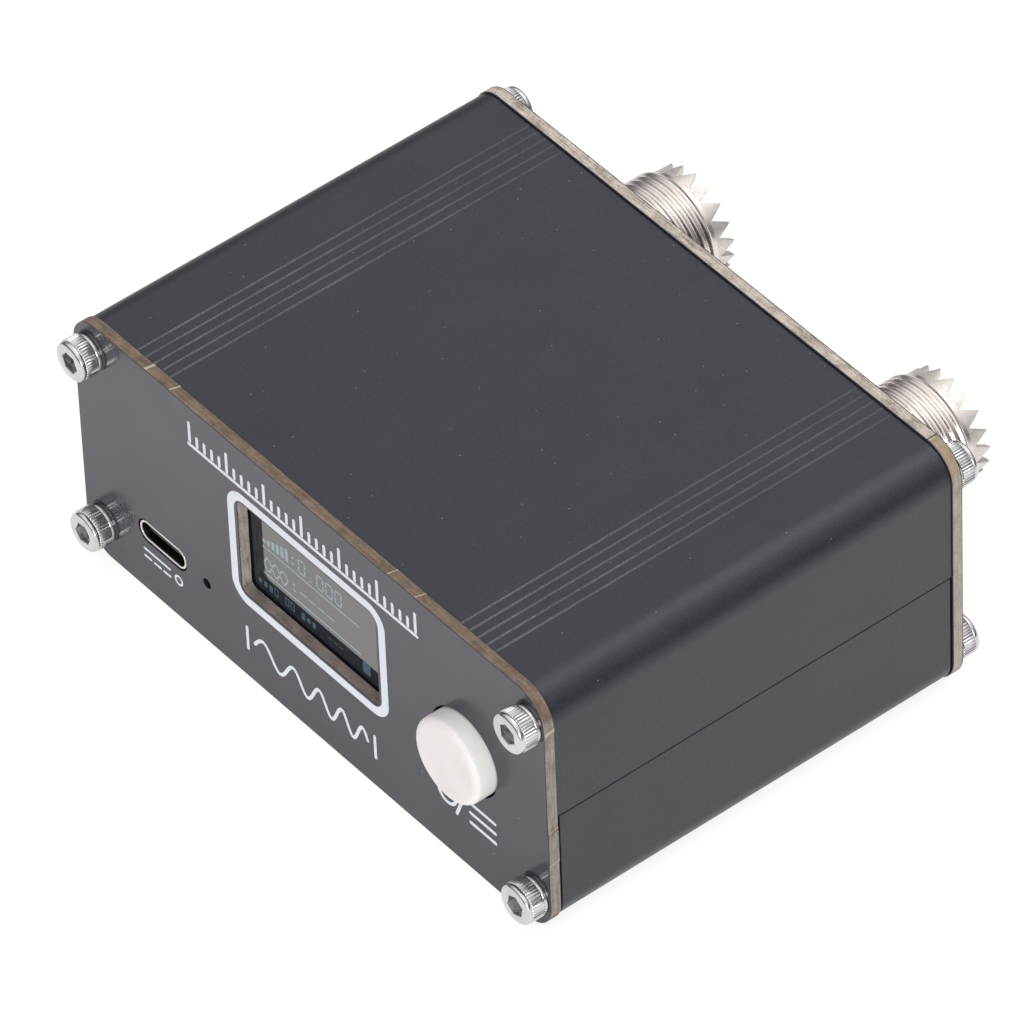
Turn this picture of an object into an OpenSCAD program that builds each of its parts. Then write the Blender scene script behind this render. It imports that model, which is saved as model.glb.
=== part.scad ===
// SWR meter in a two-shell aluminium case with circuit-board end panels.
// X runs to the right of someone who faces the display, Y runs from the display to the sockets, Z is up.
// The origin is at the middle of the footprint, on the surface that the case stands on. Millimetres.

/* [Case] */
// Width of the end panels
case_w = 88; // [88:0.5:96]
// Height of the end panels
case_h = 38; // [38:0.5:44]
// Thickness of the end panels
panel_t = 1.6; // [1.2:0.2:1.6]
// Corner radius of the end panels
panel_r = 4.5; // [3.5:0.1:4.5]
// Length of the aluminium body between the end panels
body_len = 60; // [60:1:80]
// How far the body stays inside the outline of the panels
body_inset = 0.3; // [0.2:0.1:0.4]
// Corner radius of the body
body_r = 4.2; // [3.5:0.1:4.4]
// Wall thickness of the body
wall = 1.5; // [1.3:0.1:1.6]
// Height of the joint between the two half shells
split_z = 18.8; // [17:0.1:20]
// How much shorter the bottom shell is at each end
bottom_gap = 0.15; // [0:0.05:0.2]
// Height of the lap tongue at the joint
lap_h = 1.2; // [0.8:0.1:2]
// Clearance round the lap tongue
lap_gap = 0.05; // [0.02:0.01:0.1]
// Height of the open seam between the two halves
seam_gap = 0.15; // [0:0.05:0.3]
// Grooves in each group on the shells
groove_count = 5; // [1:1:7]
// Distance from one groove to the next
groove_pitch = 1.55; // [1.2:0.05:2]
// Width of a groove
groove_w = 0.3; // [0.2:0.05:0.8]
// Depth of a groove
groove_d = 0.12; // [0.1:0.02:0.5]
// Distance from the middle of the case to the middle of a group of grooves
groove_x = 30.3; // [20:0.1:32]

/* [Screws] */
// Distance from the middle of the case to a screw, sideways
screw_x = 41; // [40.5:0.1:41]
// Distance from the middle of the case to a screw, up or down
screw_dz = 14.1; // [14:0.1:14.2]
// Radius of the screw's shank
screw_r = 1.47; // [1.4:0.01:1.5]
// Radius of the screw channels in the shells
channel_r = 1.53; // [1.52:0.01:1.6]
// Outer radius of the boss round a screw channel
boss_r = 2.4; // [2.2:0.1:2.5]
// Radius of the screw holes in the panels
panel_hole_r = 1.7; // [1.6:0.05:1.9]
// Radius of a screw head
head_r = 2.75; // [2.5:0.05:2.8]
// Height of a screw head
head_h = 3; // [2.5:0.1:3]
// Chamfer at the front of a screw head
head_chamfer = 0.4; // [0.2:0.05:0.5]
// Hexagon socket, across the flats
hex_af = 2.5; // [2:0.1:3]
// Depth of the hexagon socket
hex_depth = 1.5; // [1:0.1:1.8]
// Length of a screw below its head
screw_len = 8; // [5:1:12]

/* [Display] */
// Window size, width and height
window_size = [26, 15]; // [12:0.5:26]
// Middle of the window, sideways and up
window_at = [-0.1, 21.65]; // [-1:0.05:24]
// Corner radius of the window
window_r = 1; // [0.5:0.1:2]
// Display glass, width, thickness and height
glass_size = [27.4, 1.45, 19.3]; // [1:0.05:28]
// Gap between the front panel and the display glass
glass_gap = 0.15; // [0.1:0.05:0.3]
// Carrier board of the display, width, thickness and height
carrier_size = [27.4, 1.2, 24.2]; // [1:0.1:28]
// Height of the carrier board's lower edge
carrier_z = 10.6; // [10.4:0.1:11]
// Thickness of the display's flex tail
flex_t = 0.15; // [0.1:0.05:0.3]
// Width of the display's flex tail
flex_w = 13; // [8:0.5:20]

/* [Button] */
// Middle of the button, sideways and up
button_at = [28.8, 19]; // [15:0.1:30]
// Radius of the button cap
button_r = 5.8; // [5:0.1:6]
// Gap round the button cap in the front panel
button_gap = 0.3; // [0.2:0.05:0.4]
// How far the button cap stands out of the panel
button_proud = 2.95; // [2:0.05:3]
// Rounding at the front edge of the button cap
button_edge = 0.95; // [0.4:0.05:1]
// Travel of the button
button_travel = 0.3; // [0.2:0.05:0.35]
// Side of the square switch body
switch_w = 12; // [11:0.1:12]
// Depth of the switch body
switch_d = 3.4; // [3.4:0.1:3.6]
// Side of the square plunger stem
stem_w = 3.8; // [3:0.1:3.9]

/* [Charging socket] */
// Middle of the USB-C socket, sideways and up
usb_at = [-28.75, 10.15]; // [-31:0.05:11]
// USB-C shell, width and height
usb_size = [8.94, 3.16]; // [3:0.01:9]
// Sheet thickness of the USB-C shell
usb_wall = 0.3; // [0.2:0.05:0.35]
// Length of the USB-C shell
usb_len = 7.35; // [6.5:0.05:9]
// Gap round the USB-C shell in the front panel
usb_gap = 0.22; // [0.15:0.01:0.3]
// Middle of the charge light's hole, sideways and up
led_at = [-20.2, 10]; // [-22:0.1:11]
// Radius of the charge light's hole
led_r = 0.7; // [0.5:0.05:0.9]

/* [Antenna sockets] */
// Distance from the middle of the case to a socket
socket_x = 23.6; // [20:0.1:25]
// Height of the sockets
socket_z = 19; // [18.5:0.1:19.5]
// Outer radius of the 5/8 inch thread
thread_r = 7.94; // [7.9:0.01:7.98]
// Root radius of the thread
root_r = 7.3; // [7.2:0.01:7.4]
// Pitch of the thread, 24 turns to the inch
thread_pitch = 1.058; // [1:0.001:1.1]
// Number of thread crests outside the panel
thread_turns = 12; // [6:1:12]
// How far the socket stands out of the rear panel
socket_reach = 15.8; // [15:0.1:17]
// Inner radius of the socket shell
socket_bore_r = 6.2; // [6.1:0.05:6.4]
// Teeth in the crown
crown_teeth = 18; // [12:2:20]
// Depth of the crown's notches
crown_depth = 2.3; // [1:0.1:2.4]
// Width of the flat on the tip of a crown tooth
crown_flat = 0.12; // [0.05:0.01:0.3]
// Outer radius of the inner flange
flange_r = 9.2; // [8.8:0.1:9.4]
// Thickness of the inner flange
flange_t = 2.5; // [1.5:0.1:3]
// Bore radius of the centre contact
contact_bore_r = 2; // [1.99:0.005:2.02]
// Outer radius of the centre contact
contact_r = 2.75; // [2.6:0.05:2.9]
// Depth of the centre contact's bore
contact_depth = 12; // [10:0.5:13]

/* [Boards] */
// Thickness of the circuit boards
board_t = 1.6; // [1.2:0.2:1.6]
// Gap between a board and its slot
slot_gap = 0.05; // [0.02:0.01:0.1]
// Half the width of the main board
board_half_w = 41.5; // [41:0.1:41.6]
// Control board, left end, right end, lower edge, upper edge
control_box = [-17, 36, 9, 35.6]; // [-20:0.1:37]
// Distance from the outer face of the front panel to the control board
control_depth = 8; // [8:0.1:9]
// Pins in the header between the boards
header_pins = 8; // [2:1:10]
// Pitch of the header pins
pin_pitch = 2.54; // [2:0.01:2.54]
// Radius of the header pins
pin_r = 0.32; // [0.25:0.01:0.4]

/* [Radio parts] */
// Outer radius of a toroid core
core_r = 6.35; // [6:0.05:6.5]
// Inner radius of a toroid core
core_bore_r = 3.6; // [3.2:0.05:3.8]
// Thickness of a toroid core
core_t = 4.85; // [4:0.05:5]
// Thickness of a winding on its core
winding_t = 0.55; // [0.3:0.05:0.7]
// Share of the circle that a winding covers, in degrees
winding_angle = 300; // [90:10:320]
// Distance from the outer face of the front panel to the line core
line_depth = 48; // [47:0.5:49]
// Distance from the outer face of the front panel to the sense core
sense_depth = 33; // [30:0.5:33]
// Radius of the through conductor
conductor_r = 0.9; // [0.5:0.1:1.2]
// Half the length of the sense conductor
sense_half_len = 12; // [10:0.5:14]

/* [Battery] */
// Battery pack, width, length and thickness
battery_size = [50, 34, 4]; // [3:0.5:52]
// Distance from the outer face of the front panel to the battery pack
battery_depth = 14; // [13.5:0.5:15]
// Thickness of the foam pad under the battery pack
pad_t = 0.5; // [0.3:0.1:0.6]
// Radius of a battery lead
lead_r = 0.6; // [0.4:0.05:0.7]
// Distance between the two battery leads
lead_pitch = 2.5; // [2:0.1:3]

/* [Hidden] */
$fn = 64;
// Overshoot of a cut past the faces that it goes through
cut = 1;

// Stations along Y
face_y = head_h - (head_h + 2 * panel_t + body_len + socket_reach) / 2;
body_y = face_y + panel_t;
back_y = body_y + body_len;
rear_y = back_y + panel_t;
tip_y = rear_y + socket_reach;
control_y = face_y + control_depth;

// Half size of the body and height of the middle of the case
body_half_w = case_w / 2 - body_inset;
middle_z = case_h / 2;

// Main board: its lower and upper faces, under the USB-C shell
board_top = usb_at[1] - usb_size[1] / 2;
board_z = board_top - board_t;
board_front_y = face_y + 2.2;
board_back_y = back_y - 0.3;
rail_t = 0.8;
rail_w = 1.5;

// Antenna sockets
thread_start_y = rear_y + 0.25;
thread_crest = 0.3;
thread_end_y = thread_start_y + (thread_turns - 1) * thread_pitch + thread_crest;
insulator_y = tip_y - 5.5;
contact_y = tip_y - 2;
contact_tail_y = back_y - 4.6;
contact_tail_r = 1.6;
fit_gap = 0.03;
leg_w = 1.2;
leg_x = 5;
leg_y = back_y - flange_t + 0.4;

// Display, behind the front panel
glass_y = body_y + glass_gap;
carrier_y = glass_y + glass_size[1] + 0.1;
glass_z = window_at[1] + 0.3 - glass_size[2] / 2;
oled_header_z = carrier_z + carrier_size[2] - 1.4;
oled_header_pins = 4;

// Switch, in front of the control board
switch_y = control_y - switch_d;
cover_t = 0.3;
plunger_r = 3.9;
plunger_t = 0.9;
pocket_r = 4.1;
pocket_d = 1.8;
dome_t = 0.2;
cap_back_y = switch_y - cover_t - button_travel - 0.3;
cap_front_y = face_y - button_proud;
stem_front_y = face_y + 1;
switch_pin_dx = 5.2;
switch_pin_dz = 2.5;
switch_pin_r = 0.4;

// Battery, under the main board
floor_z = body_inset + wall;
battery_z = floor_z + pad_t;
lead_x = -17.5;
lead_back_y = face_y + battery_depth + battery_size[1] + 3.5;
lead_low_z = battery_z + battery_size[2] / 2;
lead_high_z = board_top + 2.4;
connector_size = [6, 4.5, 5.4];
connector_y = lead_back_y - 9.5;

// Header between the boards
header_y = control_y + board_t + 0.4;
header_size = [header_pins * pin_pitch, 2.5, 2.5];
header_z = board_top + header_size[2] / 2;
pin_gap = 0.15;

// A rounded rectangle from its two opposite corners, in an X and Z outline
module rounded(x0, z0, x1, z1, r) {
    translate([x0 + r, z0]) square([x1 - x0 - 2 * r, z1 - z0]);
    translate([x0, z0 + r]) square([x1 - x0, z1 - z0 - 2 * r]);
    for (x = [x0 + r, x1 - r], z = [z0 + r, z1 - r]) translate([x, z]) circle(r);
}

// A rounded rectangle from its middle and its size
module rounded_at(at, size, r) {
    rounded(at[0] - size[0] / 2, at[1] - size[1] / 2, at[0] + size[0] / 2, at[1] + size[1] / 2, r);
}

// An X and Z outline made solid from y backwards
module slab(y, t) {
    translate([0, y + t, 0]) rotate([90, 0, 0]) linear_extrude(t) children();
}

// Round bars along the three axes, from a start point
module bar_x(at, len, r) translate(at) rotate([0, 90, 0]) cylinder(h = len, r = r);
module bar_y(at, len, r) translate(at) rotate([-90, 0, 0]) cylinder(h = len, r = r);
module bar_z(at, len, r) translate(at) cylinder(h = len, r = r);

// A profile of radius and length turned about a line along +Y
module turned_y(at) translate(at) rotate([-90, 0, 0]) rotate_extrude() children();

// A block centred at x and y that stands on z
module block(at, size) translate([at[0] - size[0] / 2, at[1] - size[1] / 2, at[2]]) cube(size);

// A component on the main board, at x and at a distance behind the front panel's outer face
module on_board(x, depth, size) block([x, face_y + depth, board_top], size);

// Places of the four case screws
module at_screws() {
    for (x = [-screw_x, screw_x], dz = [-screw_dz, screw_dz]) translate([x, middle_z + dz]) children();
}

// ---- Case ----

// The body's closed section before it is split: skin, screw bosses, grooves
module body_section() {
    difference() {
        union() {
            difference() {
                rounded_at([0, middle_z], [2 * body_half_w, case_h - 2 * body_inset], body_r);
                rounded_at([0, middle_z], [2 * (body_half_w - wall), case_h - 2 * body_inset - 2 * wall],
                    body_r - wall);
            }
            at_screws() circle(boss_r);
        }
        at_screws() circle(channel_r);
        for (side = [-1, 1], i = [0:groove_count - 1]) {
            x = side * groove_x + (i - (groove_count - 1) / 2) * groove_pitch - groove_w / 2;
            translate([x, case_h - body_inset - groove_d]) square([groove_w, groove_d + cut]);
            translate([x, body_inset - cut]) square([groove_w, groove_d + cut]);
        }
    }
}

module top_shell() {
    color("dimgray") slab(body_y, body_len) union() {
        difference() {
            body_section();
            translate([-case_w, -case_h]) square([2 * case_w, case_h + split_z]);
        }
        for (side = [-1, 1]) {
            x = side > 0 ? body_half_w - wall : -body_half_w + wall / 2;
            translate([x, split_z - lap_h]) square([wall / 2, lap_h + cut]);
        }
    }
}

module bottom_shell() {
    rail_x = body_half_w - wall - rail_w;
    color("dimgray") slab(body_y + bottom_gap, body_len - 2 * bottom_gap) difference() {
        union() {
            body_section();
            for (side = [-1, 1]) {
                x = side > 0 ? rail_x : -rail_x - rail_w - wall / 2;
                translate([x, board_z - slot_gap - rail_t]) square([rail_w + wall / 2, rail_t]);
                translate([x, board_top + slot_gap]) square([rail_w + wall / 2, rail_t]);
            }
        }
        translate([-case_w, split_z - seam_gap]) square([2 * case_w, case_h]);
        for (side = [-1, 1]) {
            x = side > 0 ? body_half_w - wall - cut : -body_half_w + wall / 2 - lap_gap;
            translate([x, split_z - lap_h - lap_gap]) square([wall / 2 + lap_gap + cut, lap_h + cut]);
        }
        translate([-board_half_w - slot_gap, board_z - slot_gap])
            square([2 * (board_half_w + slot_gap), board_t + 2 * slot_gap]);
        at_screws() circle(channel_r);
    }
}

module panel_blank() {
    difference() {
        rounded_at([0, middle_z], [case_w, case_h], panel_r);
        at_screws() circle(panel_hole_r);
    }
}

module front_panel() {
    color("black") slab(face_y, panel_t) difference() {
        panel_blank();
        rounded_at(window_at, window_size, window_r);
        translate(button_at) circle(button_r + button_gap);
        rounded_at(usb_at, [usb_size[0] + 2 * usb_gap, usb_size[1] + 2 * usb_gap], usb_size[1] / 2);
        translate(led_at) circle(led_r);
    }
}

module rear_panel() {
    color("black") slab(back_y, panel_t) difference() {
        panel_blank();
        for (x = [-socket_x, socket_x]) translate([x, socket_z]) circle(thread_r + 0.26);
    }
}

// A socket head cap screw with its head's underside at the origin and its head upwards
module cap_screw() {
    difference() {
        union() {
            rotate_extrude() polygon([[0, 0], [head_r, 0], [head_r, head_h - head_chamfer],
                [head_r - head_chamfer, head_h], [0, head_h]]);
            translate([0, 0, -screw_len]) cylinder(h = screw_len + 0.1, r = screw_r);
        }
        translate([0, 0, head_h - hex_depth]) cylinder(h = hex_depth + cut, r = hex_af / sqrt(3), $fn = 6);
    }
}

module front_screws() {
    color("silver") translate([0, face_y, 0]) rotate([90, 0, 0]) at_screws() cap_screw();
}

module rear_screws() {
    color("silver") translate([0, rear_y, 0]) rotate([90, 0, 0]) at_screws() mirror([0, 0, 1]) cap_screw();
}

// ---- Antenna sockets ----

// Half section of the threaded barrel: radius, then distance behind the body's rear end
function crest_points(i) = let (a = thread_start_y - back_y + i * thread_pitch)
    [[thread_r, a], [thread_r, a + thread_crest],
     [root_r, a + thread_pitch / 2 + thread_crest / 2 - 0.05],
     [root_r, a + thread_pitch / 2 + thread_crest / 2 + 0.05]];

module socket_shell(x, phase) {
    chamfer = thread_r - root_r;
    tip = tip_y - back_y;
    crests = [for (i = [0:thread_turns - 2]) each crest_points(i)];
    color("silver") difference() {
        union() {
            turned_y([x, back_y, socket_z]) polygon(concat(
                [[socket_bore_r, -flange_t - 0.1], [flange_r, -flange_t - 0.1], [flange_r, -0.1],
                 [root_r, -0.1], [root_r, thread_start_y - back_y - 0.2]],
                crests,
                [[thread_r, thread_end_y - back_y - thread_crest], [thread_r, thread_end_y - back_y],
                 [root_r, thread_end_y - back_y + chamfer], [root_r, tip], [socket_bore_r, tip]]));
            for (side = [-1, 1]) block([x + side * leg_x, leg_y, board_z - 0.6],
                [leg_w, leg_w, socket_z - board_z - socket_bore_r]);
        }
        bar_y([x, back_y - flange_t - cut, socket_z], flange_t + body_len, socket_bore_r);
        for (i = [0:crown_teeth / 2 - 1]) crown_notch(x, phase + i * 360 / crown_teeth);
    }
}

// A V cut right across the crown, between two teeth and the two opposite ones
module crown_notch(x, angle) {
    half_w = root_r * sin(180 / crown_teeth) - crown_flat / 2;
    translate([x, tip_y, socket_z]) rotate([0, -angle, 0]) translate([-2 * root_r, 0, 0])
        rotate([90, 0, 90]) linear_extrude(4 * root_r)
            polygon([[-crown_depth, 0], [0, half_w], [cut, half_w], [cut, -half_w], [0, -half_w]]);
}

module socket_insulator(x) {
    color("white") difference() {
        bar_y([x, back_y - flange_t, socket_z], insulator_y - back_y + flange_t, socket_bore_r - fit_gap);
        bar_y([x, back_y - flange_t - cut, socket_z], tip_y - back_y + cut, contact_r + fit_gap);
    }
}

module centre_contact(x) {
    slot_w = 0.5;
    slot_len = contact_depth - 4;
    color("gold") difference() {
        union() {
            bar_y([x, back_y - flange_t, socket_z], contact_y - back_y + flange_t, contact_r);
            bar_y([x, contact_tail_y, socket_z], back_y - contact_tail_y, contact_tail_r);
        }
        bar_y([x, contact_y - contact_depth, socket_z], contact_depth + cut, contact_bore_r);
        for (turn = [45, 135]) translate([x, contact_y - slot_len, socket_z]) rotate([0, turn, 0])
            translate([-slot_w / 2, 0, -2 * contact_r]) cube([slot_w, slot_len + cut, 4 * contact_r]);
    }
}

module left_socket_shell() socket_shell(-socket_x, 19);
module right_socket_shell() socket_shell(socket_x, 15);
module left_socket_insulator() socket_insulator(-socket_x);
module right_socket_insulator() socket_insulator(socket_x);
module left_centre_contact() centre_contact(-socket_x);
module right_centre_contact() centre_contact(socket_x);

// ---- Boards ----

function header_pin_x(i) = (i - (header_pins - 1) / 2) * pin_pitch;
function oled_pin_x(i) = window_at[0] + (i - (oled_header_pins - 1) / 2) * pin_pitch;

module main_board() {
    hole = leg_w + 0.4;
    lead_hole = [lead_pitch + 4, 3];
    color("darkgreen") difference() {
        translate([-board_half_w, board_front_y, board_z])
            cube([2 * board_half_w, board_back_y - board_front_y, board_t]);
        for (x = [-socket_x, socket_x], side = [-1, 1])
            block([x + side * leg_x, leg_y, board_z - cut], [hole, hole, board_t + 2 * cut]);
        for (i = [0:header_pins - 1])
            bar_z([header_pin_x(i), header_y + header_size[1] / 2, board_z - cut],
                board_t + 2 * cut, pin_r + pin_gap);
        block([lead_x - lead_pitch / 2, lead_back_y, board_z - cut],
            [lead_hole[0], lead_hole[1], board_t + 2 * cut]);
    }
}

module control_board() {
    color("darkgreen") slab(control_y, board_t) difference() {
        translate([control_box[0], control_box[2]])
            square([control_box[1] - control_box[0], control_box[3] - control_box[2]]);
        for (i = [0:header_pins - 1]) translate([header_pin_x(i), header_z]) circle(pin_r + pin_gap);
        for (i = [0:oled_header_pins - 1]) translate([oled_pin_x(i), oled_header_z]) circle(pin_r + pin_gap);
        for (x = [-switch_pin_dx, switch_pin_dx], z = [-switch_pin_dz, switch_pin_dz])
            translate([button_at[0] + x, button_at[1] + z]) circle(switch_pin_r + pin_gap);
    }
}

module board_header() {
    middle_y = header_y + header_size[1] / 2;
    color("black") union() {
        block([0, middle_y, board_top], header_size);
        for (i = [0:header_pins - 1]) {
            bar_y([header_pin_x(i), control_y - 0.8, header_z], header_y - control_y + 1, pin_r);
            bar_z([header_pin_x(i), middle_y, board_z - 0.4], board_t + 0.6, pin_r);
        }
    }
}

// ---- Radio parts ----

// A conductor bent at right angles: out from one end, across along X, and back
module bent_conductor(half_len, y, end) {
    union() {
        bar_x([-half_len, y, socket_z], 2 * half_len, conductor_r);
        for (side = [-1, 1]) {
            translate([side * half_len, y, socket_z]) sphere(conductor_r);
            if (end == "back") bar_y([side * half_len, y, socket_z], contact_tail_y - y, conductor_r);
            if (end == "down") bar_z([side * half_len, y, board_top], socket_z - board_top, conductor_r);
        }
    }
}

module through_conductor() color("gold") bent_conductor(socket_x, face_y + line_depth, "back");
module sense_conductor() color("gold") bent_conductor(sense_half_len, face_y + sense_depth, "down");

module core(depth) {
    color("darkslategray") difference() {
        bar_x([-core_t / 2, face_y + depth, socket_z], core_t, core_r);
        bar_x([-core_t / 2 - cut, face_y + depth, socket_z], core_t + 2 * cut, core_bore_r);
    }
}

module winding(depth) {
    gap = fit_gap;
    color("orangered") translate([0, face_y + depth, socket_z]) rotate([0, 90, 0])
        rotate([0, 0, (360 - winding_angle) / 2]) rotate_extrude(angle = winding_angle) difference() {
            translate([core_bore_r - winding_t, -core_t / 2 - winding_t])
                square([core_r - core_bore_r + 2 * winding_t, core_t + 2 * winding_t]);
            translate([core_bore_r - gap, -core_t / 2 - gap])
                square([core_r - core_bore_r + 2 * gap, core_t + 2 * gap]);
        }
}

module line_core() core(line_depth);
module sense_core() core(sense_depth);
module line_winding() winding(line_depth);
module sense_winding() winding(sense_depth);

module core_cradles() {
    cradle_size = [7, 10, 5];
    color("ivory") for (depth = [line_depth, sense_depth]) difference() {
        on_board(0, depth, cradle_size);
        bar_x([-cradle_size[0], face_y + depth, socket_z],
            2 * cradle_size[0], core_r + winding_t + fit_gap);
    }
}

module mcu_chip() color("black") on_board(-26, 30, [7, 7, 1.2]);
module charger_chip() color("black") on_board(-34, 16, [3, 3, 1]);
module amplifier_chip() color("black") on_board(24, 34, [5, 4, 1.5]);

module detector_diodes() {
    glass_r = 0.9;
    glass_len = 4;
    wire_r = 0.25;
    color("orange") for (side = [-1, 1]) translate([side * 13, face_y + 40, board_top + 1.2]) union() {
        bar_y([0, -glass_len / 2, 0], glass_len, glass_r);
        bar_y([0, -glass_len, 0], 2 * glass_len, wire_r);
        for (end = [-glass_len, glass_len]) bar_z([0, end, -1.2], 1.2, wire_r);
        for (end = [-glass_len, glass_len]) translate([0, end, 0]) sphere(wire_r);
    }
}

module capacitors() {
    color("tan") for (side = [-1, 1], i = [0:2]) on_board(side * (24 + 3 * i), 42, [1.6, 0.8, 0.8]);
}

module trimmers() {
    color("royalblue") for (side = [-1, 1]) translate([side * 28, 0, 0]) difference() {
        on_board(0, 49, [4.5, 4.5, 3]);
        bar_z([0, face_y + 49, board_top + 2.6], cut, 1.6);
    }
}

module load_resistors() color("black") for (side = [-1, 1]) on_board(side * 12, 55, [6.3, 3.1, 0.6]);

// ---- Charging socket and light ----

module usb_shell() {
    inner = [usb_size[0] - 2 * usb_wall, usb_size[1] - 2 * usb_wall];
    start_y = face_y + 0.05;
    color("silver") difference() {
        slab(start_y, usb_len) rounded_at(usb_at, usb_size, 1.5);
        slab(start_y - cut, usb_len + cut - usb_wall) rounded_at(usb_at, inner, 1.5 - usb_wall);
    }
}

module usb_tongue() {
    base_size = [usb_size[0] - 2 * usb_wall - 0.04, usb_size[1] - 2 * usb_wall - 0.04];
    base_y = face_y + 5.6;
    base_end_y = face_y + 0.05 + usb_len - usb_wall;
    color("dimgray") union() {
        slab(base_y, base_end_y - base_y) rounded_at(usb_at, base_size, 1.15);
        slab(face_y + 0.75, base_y - face_y) rounded_at(usb_at, [6.7, 0.7], 0.1);
    }
}

module charge_led() {
    body = [3, 1.1, 2];
    color("white") union() {
        on_board(led_at[0], 2.95, body);
        bar_y([led_at[0], body_y + 0.1, led_at[1]], 1.2, 0.6);
    }
}

// ---- Display ----

module oled_glass() {
    color("midnightblue") block([window_at[0], glass_y + glass_size[1] / 2, glass_z], glass_size);
}

module oled_carrier() {
    color("navy") slab(carrier_y, carrier_size[1]) difference() {
        translate([window_at[0] - carrier_size[0] / 2, carrier_z])
            square([carrier_size[0], carrier_size[2]]);
        for (i = [0:oled_header_pins - 1]) translate([oled_pin_x(i), oled_header_z]) circle(pin_r + pin_gap);
    }
}

module oled_header() {
    strip_y = carrier_y + carrier_size[1];
    strip = [oled_header_pins * pin_pitch, control_y - strip_y, 2.5];
    color("black") union() {
        block([window_at[0], strip_y + strip[1] / 2, oled_header_z - strip[2] / 2], strip);
        for (i = [0:oled_header_pins - 1])
            bar_y([oled_pin_x(i), carrier_y - 0.5, oled_header_z],
                control_y - carrier_y + board_t + 1.2, pin_r);
    }
}

module oled_flex() {
    low_z = carrier_z - 0.7;
    front_y = glass_y + glass_size[1] - 0.6;
    back_y = carrier_y + carrier_size[1] + 0.1;
    color("peru") translate([window_at[0] - flex_w / 2, 0, 0]) union() {
        translate([0, front_y, low_z]) cube([flex_w, flex_t, glass_z - low_z]);
        translate([0, front_y, low_z]) cube([flex_w, back_y - front_y + flex_t, flex_t]);
        translate([0, back_y, low_z]) cube([flex_w, flex_t, 6]);
    }
}

// ---- Switch and button ----

module switch_body() {
    color("black") difference() {
        slab(switch_y, switch_d) rounded_at(button_at, [switch_w, switch_w], 0.8);
        bar_y([button_at[0], switch_y - cut, button_at[1]], pocket_d + cut, pocket_r);
    }
}

module switch_cover() {
    cover_w = switch_w - 0.4;
    color("silver") difference() {
        slab(switch_y - cover_t, cover_t) rounded_at(button_at, [cover_w, cover_w], 0.6);
        bar_y([button_at[0], switch_y - cover_t - cut, button_at[1]], cover_t + 2 * cut, 3);
    }
}

module switch_dome() {
    color("silver")
        bar_y([button_at[0], switch_y + pocket_d - dome_t, button_at[1]], dome_t, pocket_r - 0.2);
}

module switch_pins() {
    color("silver") for (x = [-switch_pin_dx, switch_pin_dx], z = [-switch_pin_dz, switch_pin_dz])
        bar_y([button_at[0] + x, control_y, button_at[1] + z], board_t + 0.8, switch_pin_r);
}

module switch_plunger() {
    color("dimgray") union() {
        bar_y([button_at[0], switch_y + 0.1, button_at[1]], plunger_t, plunger_r);
        block([button_at[0], (stem_front_y + switch_y + 0.3) / 2, button_at[1] - stem_w / 2],
            [stem_w, switch_y + 0.3 - stem_front_y, stem_w]);
    }
}

module button_cap() {
    depth = cap_back_y - cap_front_y;
    e = button_edge;
    hollow_r0 = 3.4;
    hollow_r1 = 4.7;
    pocket_w = stem_w + 2 * fit_gap;
    color("ivory") difference() {
        turned_y([button_at[0], cap_front_y, button_at[1]]) difference() {
            union() {
                translate([0, e]) square([button_r, depth - e]);
                square([button_r - e, depth]);
                translate([button_r - e, e]) circle(e);
            }
            translate([hollow_r0, 1.8]) square([hollow_r1 - hollow_r0, depth]);
        }
        block([button_at[0], (stem_front_y + cap_back_y) / 2 + cut / 2 - 0.05, button_at[1] - pocket_w / 2],
            [pocket_w, cap_back_y - stem_front_y + cut + 0.1, pocket_w]);
    }
}

// ---- Battery ----

module battery_pack() {
    color("silver") block([0, face_y + battery_depth + battery_size[1] / 2, battery_z], battery_size);
}

module battery_pad() {
    color("gray") block([0, face_y + battery_depth + battery_size[1] / 2, floor_z],
        [battery_size[0] - 6, battery_size[1] - 6, pad_t]);
}

module battery_leads() {
    start_y = face_y + battery_depth + battery_size[1];
    color("red") for (x = [lead_x, lead_x - lead_pitch]) union() {
        bar_y([x, start_y, lead_low_z], lead_back_y - start_y, lead_r);
        translate([x, lead_back_y, lead_low_z]) sphere(lead_r);
        bar_z([x, lead_back_y, lead_low_z], lead_high_z - lead_low_z, lead_r);
        translate([x, lead_back_y, lead_high_z]) sphere(lead_r);
        bar_y([x, connector_y + connector_size[1], lead_high_z],
            lead_back_y - connector_y - connector_size[1], lead_r);
    }
}

module battery_connector() {
    color("ivory") block([lead_x - lead_pitch / 2, connector_y + connector_size[1] / 2, board_top],
        connector_size);
}

top_shell();
bottom_shell();
front_panel();
rear_panel();
front_screws();
rear_screws();
left_socket_shell();
right_socket_shell();
left_socket_insulator();
right_socket_insulator();
left_centre_contact();
right_centre_contact();
main_board();
control_board();
board_header();
through_conductor();
line_core();
line_winding();
sense_conductor();
sense_core();
sense_winding();
core_cradles();
mcu_chip();
charger_chip();
amplifier_chip();
detector_diodes();
capacitors();
trimmers();
load_resistors();
usb_shell();
usb_tongue();
charge_led();
oled_glass();
oled_carrier();
oled_header();
oled_flex();
switch_body();
switch_cover();
switch_dome();
switch_pins();
switch_plunger();
button_cap();
battery_pack();
battery_pad();
battery_leads();
battery_connector();
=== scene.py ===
"""SWR meter: the looks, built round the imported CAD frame. Lengths in the helpers are millimetres."""

import math

import bmesh
import bpy
from mathutils import Matrix, Vector
from mathutils.geometry import tessellate_polygon


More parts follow.
